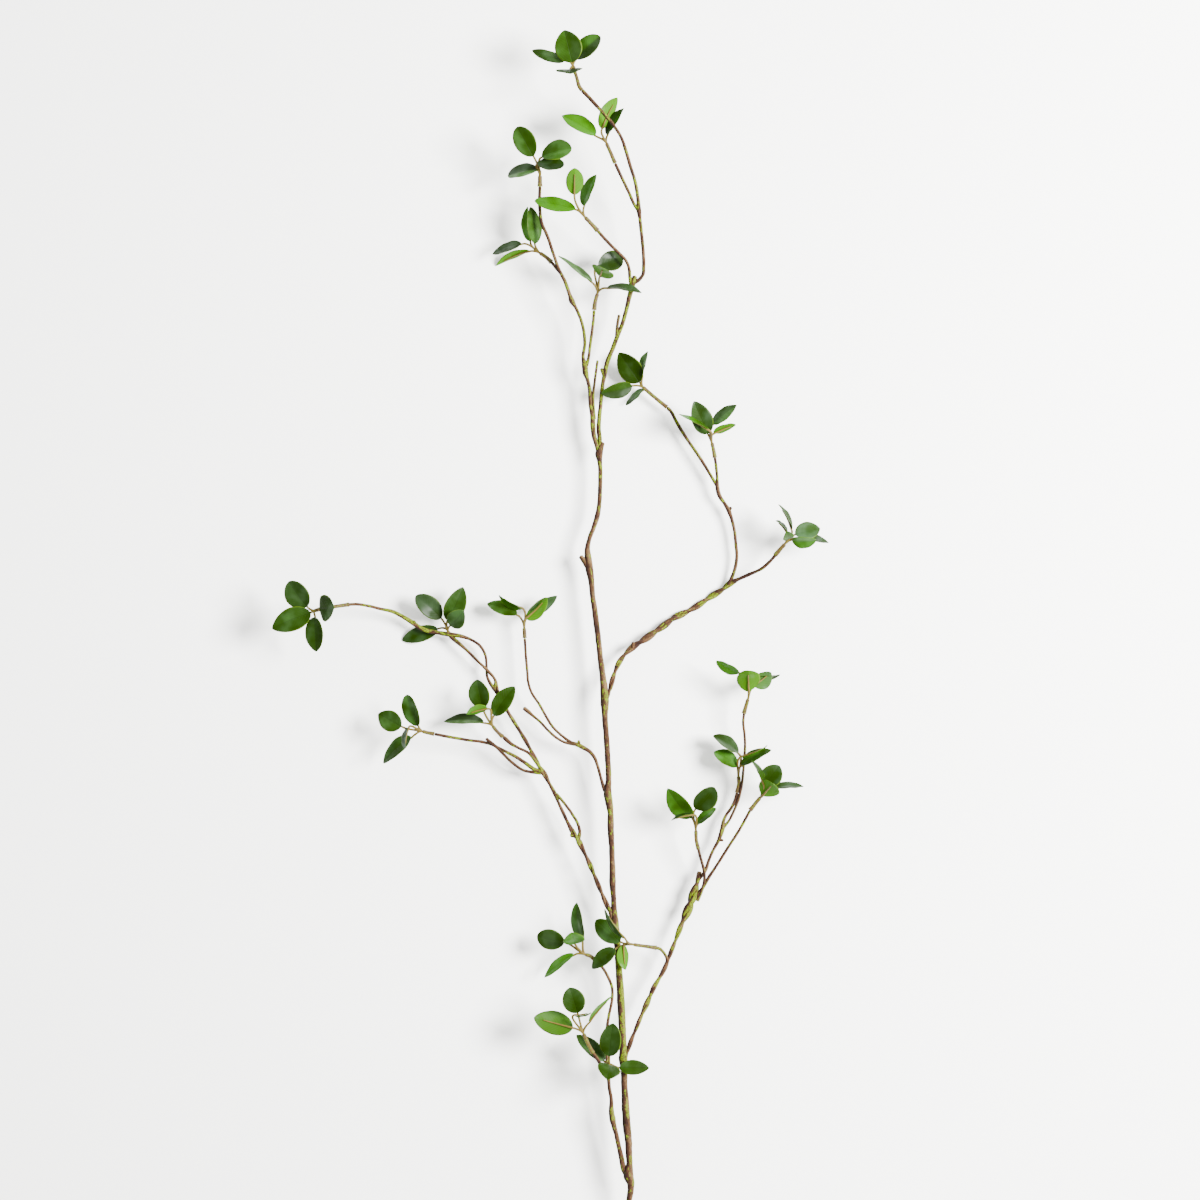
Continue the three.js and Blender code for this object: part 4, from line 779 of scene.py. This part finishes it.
     "leaves": [[56, -213.4, 31, 36.6, -196, 30, 16.5, -12],
                [59, -211, 41, 43.8, -187, 44, 11, -66],
                [52, -219, 30, 33.6, -235, 31, 13, 30],
                [58.4, -216, 31, 60.4, -236, 30, 11, 150]],
     "looks": [[0.45, 0.25, 0.6, 0], [0.5, 0.2, 0.1, 0], [0.25, 0.3, 0.3, 0],
               [0.7, 0.1, 0.3, 0]]},
    {"sleeve": [[34, -302, 39.6, 1.4], [30.4, -295, 42.8, 1.2], [26.7, -286.6, 45, 1.2]],
     "leaves": [[22, -270.4, 49, 15.6, -250, 54, 17.5, 0],
                [18.4, -282.4, 46, -13, -274, 45, 18.5, 192],
                [31, -277, 47, 50, -257, 47, 12, -110, 0.6],
                [20, -273, 55, 33, -270, 58, 9, 78]],
     "looks": [[0.3, 0.2, 0.8, 0], [0.3, 0.2, 0.4, 0], [0.6, 0.3, 0.2, 0], [0.3, 0.4, 0.2, 0]]},
    {"sleeve": [[47.2, -315.6, 30.6, 1.3], [47.5, -311.4, 33.4, 1.2]],
     "leaves": [[47.4, -305, 37, 50.4, -278.6, 43, 17, 0],
                [43.6, -308.6, 31.4, 21, -288, 25, 13, 34],
                [48, -312, 37, 45.6, -323.6, 58, 18.5, 0],
                [55.4, -314, 35.6, 79.4, -314.4, 34, 12, -20, 0.7]],
     "looks": [[0.2, 0.2, 0.6, 0], [0.4, 0.3, 0.3, 0], [0.35, 0.1, 0.5, 0], [0.35, 0.1, 0.2, 0]]},
]


def barkFinish():
    f = Finish("bark")
    place3 = f.mark("straight", "Vector")
    relief, mossy, core, lit = f.mark("relief"), f.mark("mossy"), f.mark("core"), f.mark("lit")
    streak = f.noise(f.stretch(place3, (3, 3, 0.35)), 1.6, 4, 0.62)
    blotch = f.noise(f.stretch(place3, (1, 1, 0.5)), 0.9, 3, 0.55)
    grain = f.noise(f.stretch(place3, (5, 5, 1.4)), 2.4, 4, 0.7)
    base = f.mix(streak.band(0.36, 0.56), colour(bark["dark"]), colour(bark["brown"]))
    # tan and pale patches are the grain's own colour, pushed onto the lit side and, for pale,
    # onto the ridges as painted highlight
    base = f.mix((blotch * 0.6 + grain * 0.5 + lit * 0.12).band(0.52, 0.7) * 0.85, base,
                 colour(bark["tan"]))
    base = f.mix((grain + relief * 1.2 + lit * 0.16).band(0.62, 0.76) * 0.8, base,
                 colour(bark["pale"]))
    # painted shade: darker where the surface sinks into its furrows
    base = f.mix((0.02 - relief).band(0.03, 0.12) * 0.6, base, colour(bark["dark"]))
    moss = f.mix(grain.band(0.56, 0.68) * 0.6, colour(bark["moss"]), colour(bark["mossPale"]))
    moss = f.mix(streak.band(0.51, 0.6) * 0.8, moss, colour(bark["mossDark"]))
    moss = f.mix(f.noise(place3, 2.6, 3, 0.65).band(0.51, 0.55) * 0.95, moss, base)
    spots = f.noise(f.stretch(place3, (1.1, 1.1, 0.38)), 1.0, 3, 0.6)
    cover = (mossy * 0.85 + (spots - 0.5) * 3.8 + (blotch - 0.5) * 0.8).band(0.42, 0.5)
    base = f.mix(cover, base, moss)
    # painted shade: darker on the side that faces away from the light's direction
    base = f.mix((0.1 - lit).band(0.0, 0.7) * 0.85, base, colour(bark["dark"]))
    base = f.mix(core.band(0.5, 0.9), base, colour(bark["core"]))
    rough = 0.62 + 0.25 * grain
    bumps = f.bump(grain * 0.6 + streak * 0.5, 0.0005, 0.7)
    return f.close({"Base Color": base, "Roughness": rough, "Normal": bumps,
                    "Specular IOR Level": 0.08})


def sprigFinish():
    f = Finish("sprig")
    place3, isStalk = f.mark("straight", "Vector"), f.mark("isStalk")
    streak = f.noise(f.stretch(place3, (2.5, 2.5, 0.4)), 1.5, 3, 0.6)
    blotch = f.noise(place3, 0.8, 2, 0.5)
    base = f.mix(blotch.band(0.4, 0.6), colour(sprig["tan"]), colour(sprig["pink"]))
    base = f.mix(isStalk * 0.85, base, colour(sprig["gold"]))
    base = f.mix(streak.band(0.5, 0.66) * 0.6, base, colour(sprig["shade"]))
    specks = f.noise(place3, 1.3, 2, 0.5).band(0.54, 0.6) * (0.8 - isStalk * 0.6)
    base = f.mix(specks, base, colour(sprig["lime"]))
    return f.close({"Base Color": base, "Roughness": 0.5 + 0.2 * streak,
                    "Normal": f.bump(streak, 0.0003, 0.5),
                    "Specular IOR Level": 0.15})


def leafFinish():
    f = Finish("leaf")
    x, y, edge = f.parts(f.mark("veins", "Vector"))
    tone, dustAndSheen, top = f.parts(f.mark("looks", "Vector"))
    cloth = f.add("TexCoord", output="Object")
    soft = f.noise(cloth, 70, 2, 0.5)
    fine = f.noise(cloth, 900, 2, 0.6)
    away = y.math("ABSOLUTE")
    # side veins leave the rib every 2.6 mm at a slant and bow towards the tip
    slant = (x - away * 0.75 - away * away * 0.05) / 2.6 + y.math("SIGN") * 0.25
    vein = slant.math("FRACT") - 0.5
    vein = 1 - vein.math("ABSOLUTE").band(0.0, 0.16)
    rib = 1 - away.band(0.12, 0.42)
    # random lighter and darker patches: partly the cloth's own tone, partly painted soft
    # highlight
    lightness = tone + (soft - 0.5) * 0.9
    face = f.mix(lightness.band(0.0, 0.55), colour(leaf["dark"]), colour(leaf["green"]))
    face = f.mix(lightness.band(0.4, 1.0), face, colour(leaf["lime"]))
    face = f.mix(vein * 0.12 + rib * 0.3, face, colour(leaf["dark"]))
    # bluish patches by the dust look and the soft noise: a dusty tint and painted sheen
    face = f.mix(dustAndSheen * (0.05 + (soft - 0.4) * 1.2), face, colour(leaf["dustAndSheen"]))
    under = f.mix(tone.band(0.2, 0.9), colour(leaf["under"]), colour(leaf["underLime"]))
    # the same dusty tint and painted sheen on the underside
    under = f.mix(dustAndSheen * soft, under, colour(leaf["dustAndSheen"]))
    under = f.mix(vein * 0.25, under, colour(leaf["green"]))
    isTop = top.band(0.4, 0.6)
    base = f.mix(isTop, under, face)
    base = f.mix(edge.band(0.88, 0.97) * 0.65, base, colour(leaf["rim"]))
    rough = 0.56 - 0.16 * isTop + 0.12 * fine
    height = (vein * 0.4 + rib * 0.8) * (1 - 2 * isTop) + fine * 0.25
    return f.close({"Base Color": base, "Roughness": rough,
                    "Normal": f.bump(height, 0.0003, 0.6),
                    "Specular IOR Level": 0.03, "Coat Roughness": 0.32,
                    "Coat Weight": (soft + dustAndSheen * 0.06).band(0.5, 0.66) * 0.2})


barkLook, sprigLook, leafLook = barkFinish(), sprigFinish(), leafFinish()
print("finishes made")

branches = {
    "main_stem": mainStem, "upper_left_branch": upperLeftBranch,
    "upper_right_branch": upperRightBranch, "right_branch": rightBranch,
    "small_left_branch": smallLeftBranch, "left_branch": leftBranch,
    "lower_right_branch": lowerRightBranch, "lower_left_branch": lowerLeftBranch,
}
for number, (name, branch) in enumerate(branches.items()):
    shells = [barkStem(route, branch["moss"], 40 * number + 5 * i + 1, strand)
              for i, route in enumerate(branch["routes"])
              for strand in ([0, np.pi] if i in branch["laid"] else [None])]
    makePiece(name + "_bark", shells, barkLook, name)
print("stems made:", len(branches))

for number, spray in enumerate(sprays, 1):
    rng = np.random.default_rng(100 + number)
    node = f"leaf_spray_{number:02d}"
    ends = place(spray["sleeve"])
    hub, heading = ends[-1], unit(ends[-1] - ends[-2])
    blades = [blade(e, look, rng) for e, look in zip(spray["leaves"], spray["looks"])]
    stalks = [stalk(hub, heading, e, 7 * number + i) for i, e in enumerate(spray["leaves"])]
    makePiece(node + "_leaves", blades, leafLook, node)
    makePiece(node + "_sprig", [sleeve(spray["sleeve"], number), *stalks], sprigLook,
              node)
print("sprays made:", len(sprays))

studio = {
    "floorWidth": 6.0,
    "floorColour": "#f4f4f1",
    "keyPlace": (1.5, 0.35, 1.6), "keyWidth": 0.9, "keyPower": 360,
    "skyStrength": 1.95,
    "lens": 36 * 2270 / 960,   # a frame 960 mm wide from 2270 mm away
}


def makeStudio():
    w = studio["floorWidth"] / 2
    mesh = bpy.data.meshes.new("floor")
    mesh.from_pydata([(-w, -w, -0.0002), (w, -w, -0.0002), (w, w, -0.0002), (-w, w, -0.0002)],
                     [], [(0, 1, 2, 3)])
    mesh.materials.append(Finish("floor").close(
        {"Base Color": colour(studio["floorColour"]), "Roughness": 0.8}))
    floor = bpy.data.objects.new("floor", mesh)
    bpy.context.scene.collection.objects.link(floor)

    lamp = bpy.data.lights.new("key", "AREA")
    lamp.shape, lamp.size, lamp.energy = "DISK", studio["keyWidth"], studio["keyPower"]
    key = bpy.data.objects.new("key", lamp)
    key.location = studio["keyPlace"]
    key.rotation_euler = (-key.location).to_track_quat("-Z", "Y").to_euler()
    bpy.context.scene.collection.objects.link(key)

    world = bpy.data.worlds.new("sky")
    world.use_nodes = True
    world.node_tree.nodes["Background"].inputs["Color"].default_value = (1, 1, 1, 1)
    world.node_tree.nodes["Background"].inputs["Strength"].default_value = studio["skyStrength"]
    bpy.context.scene.world = world

    camera = bpy.data.objects.new("camera", bpy.data.cameras.new("camera"))
    camera.data.lens = studio["lens"]
    camera.location = np.array([eye["x"], eye["y"], eye["height"]]) / 1000
    bpy.context.scene.collection.objects.link(camera)
    bpy.context.scene.camera = camera


makeStudio()
print("studio made")
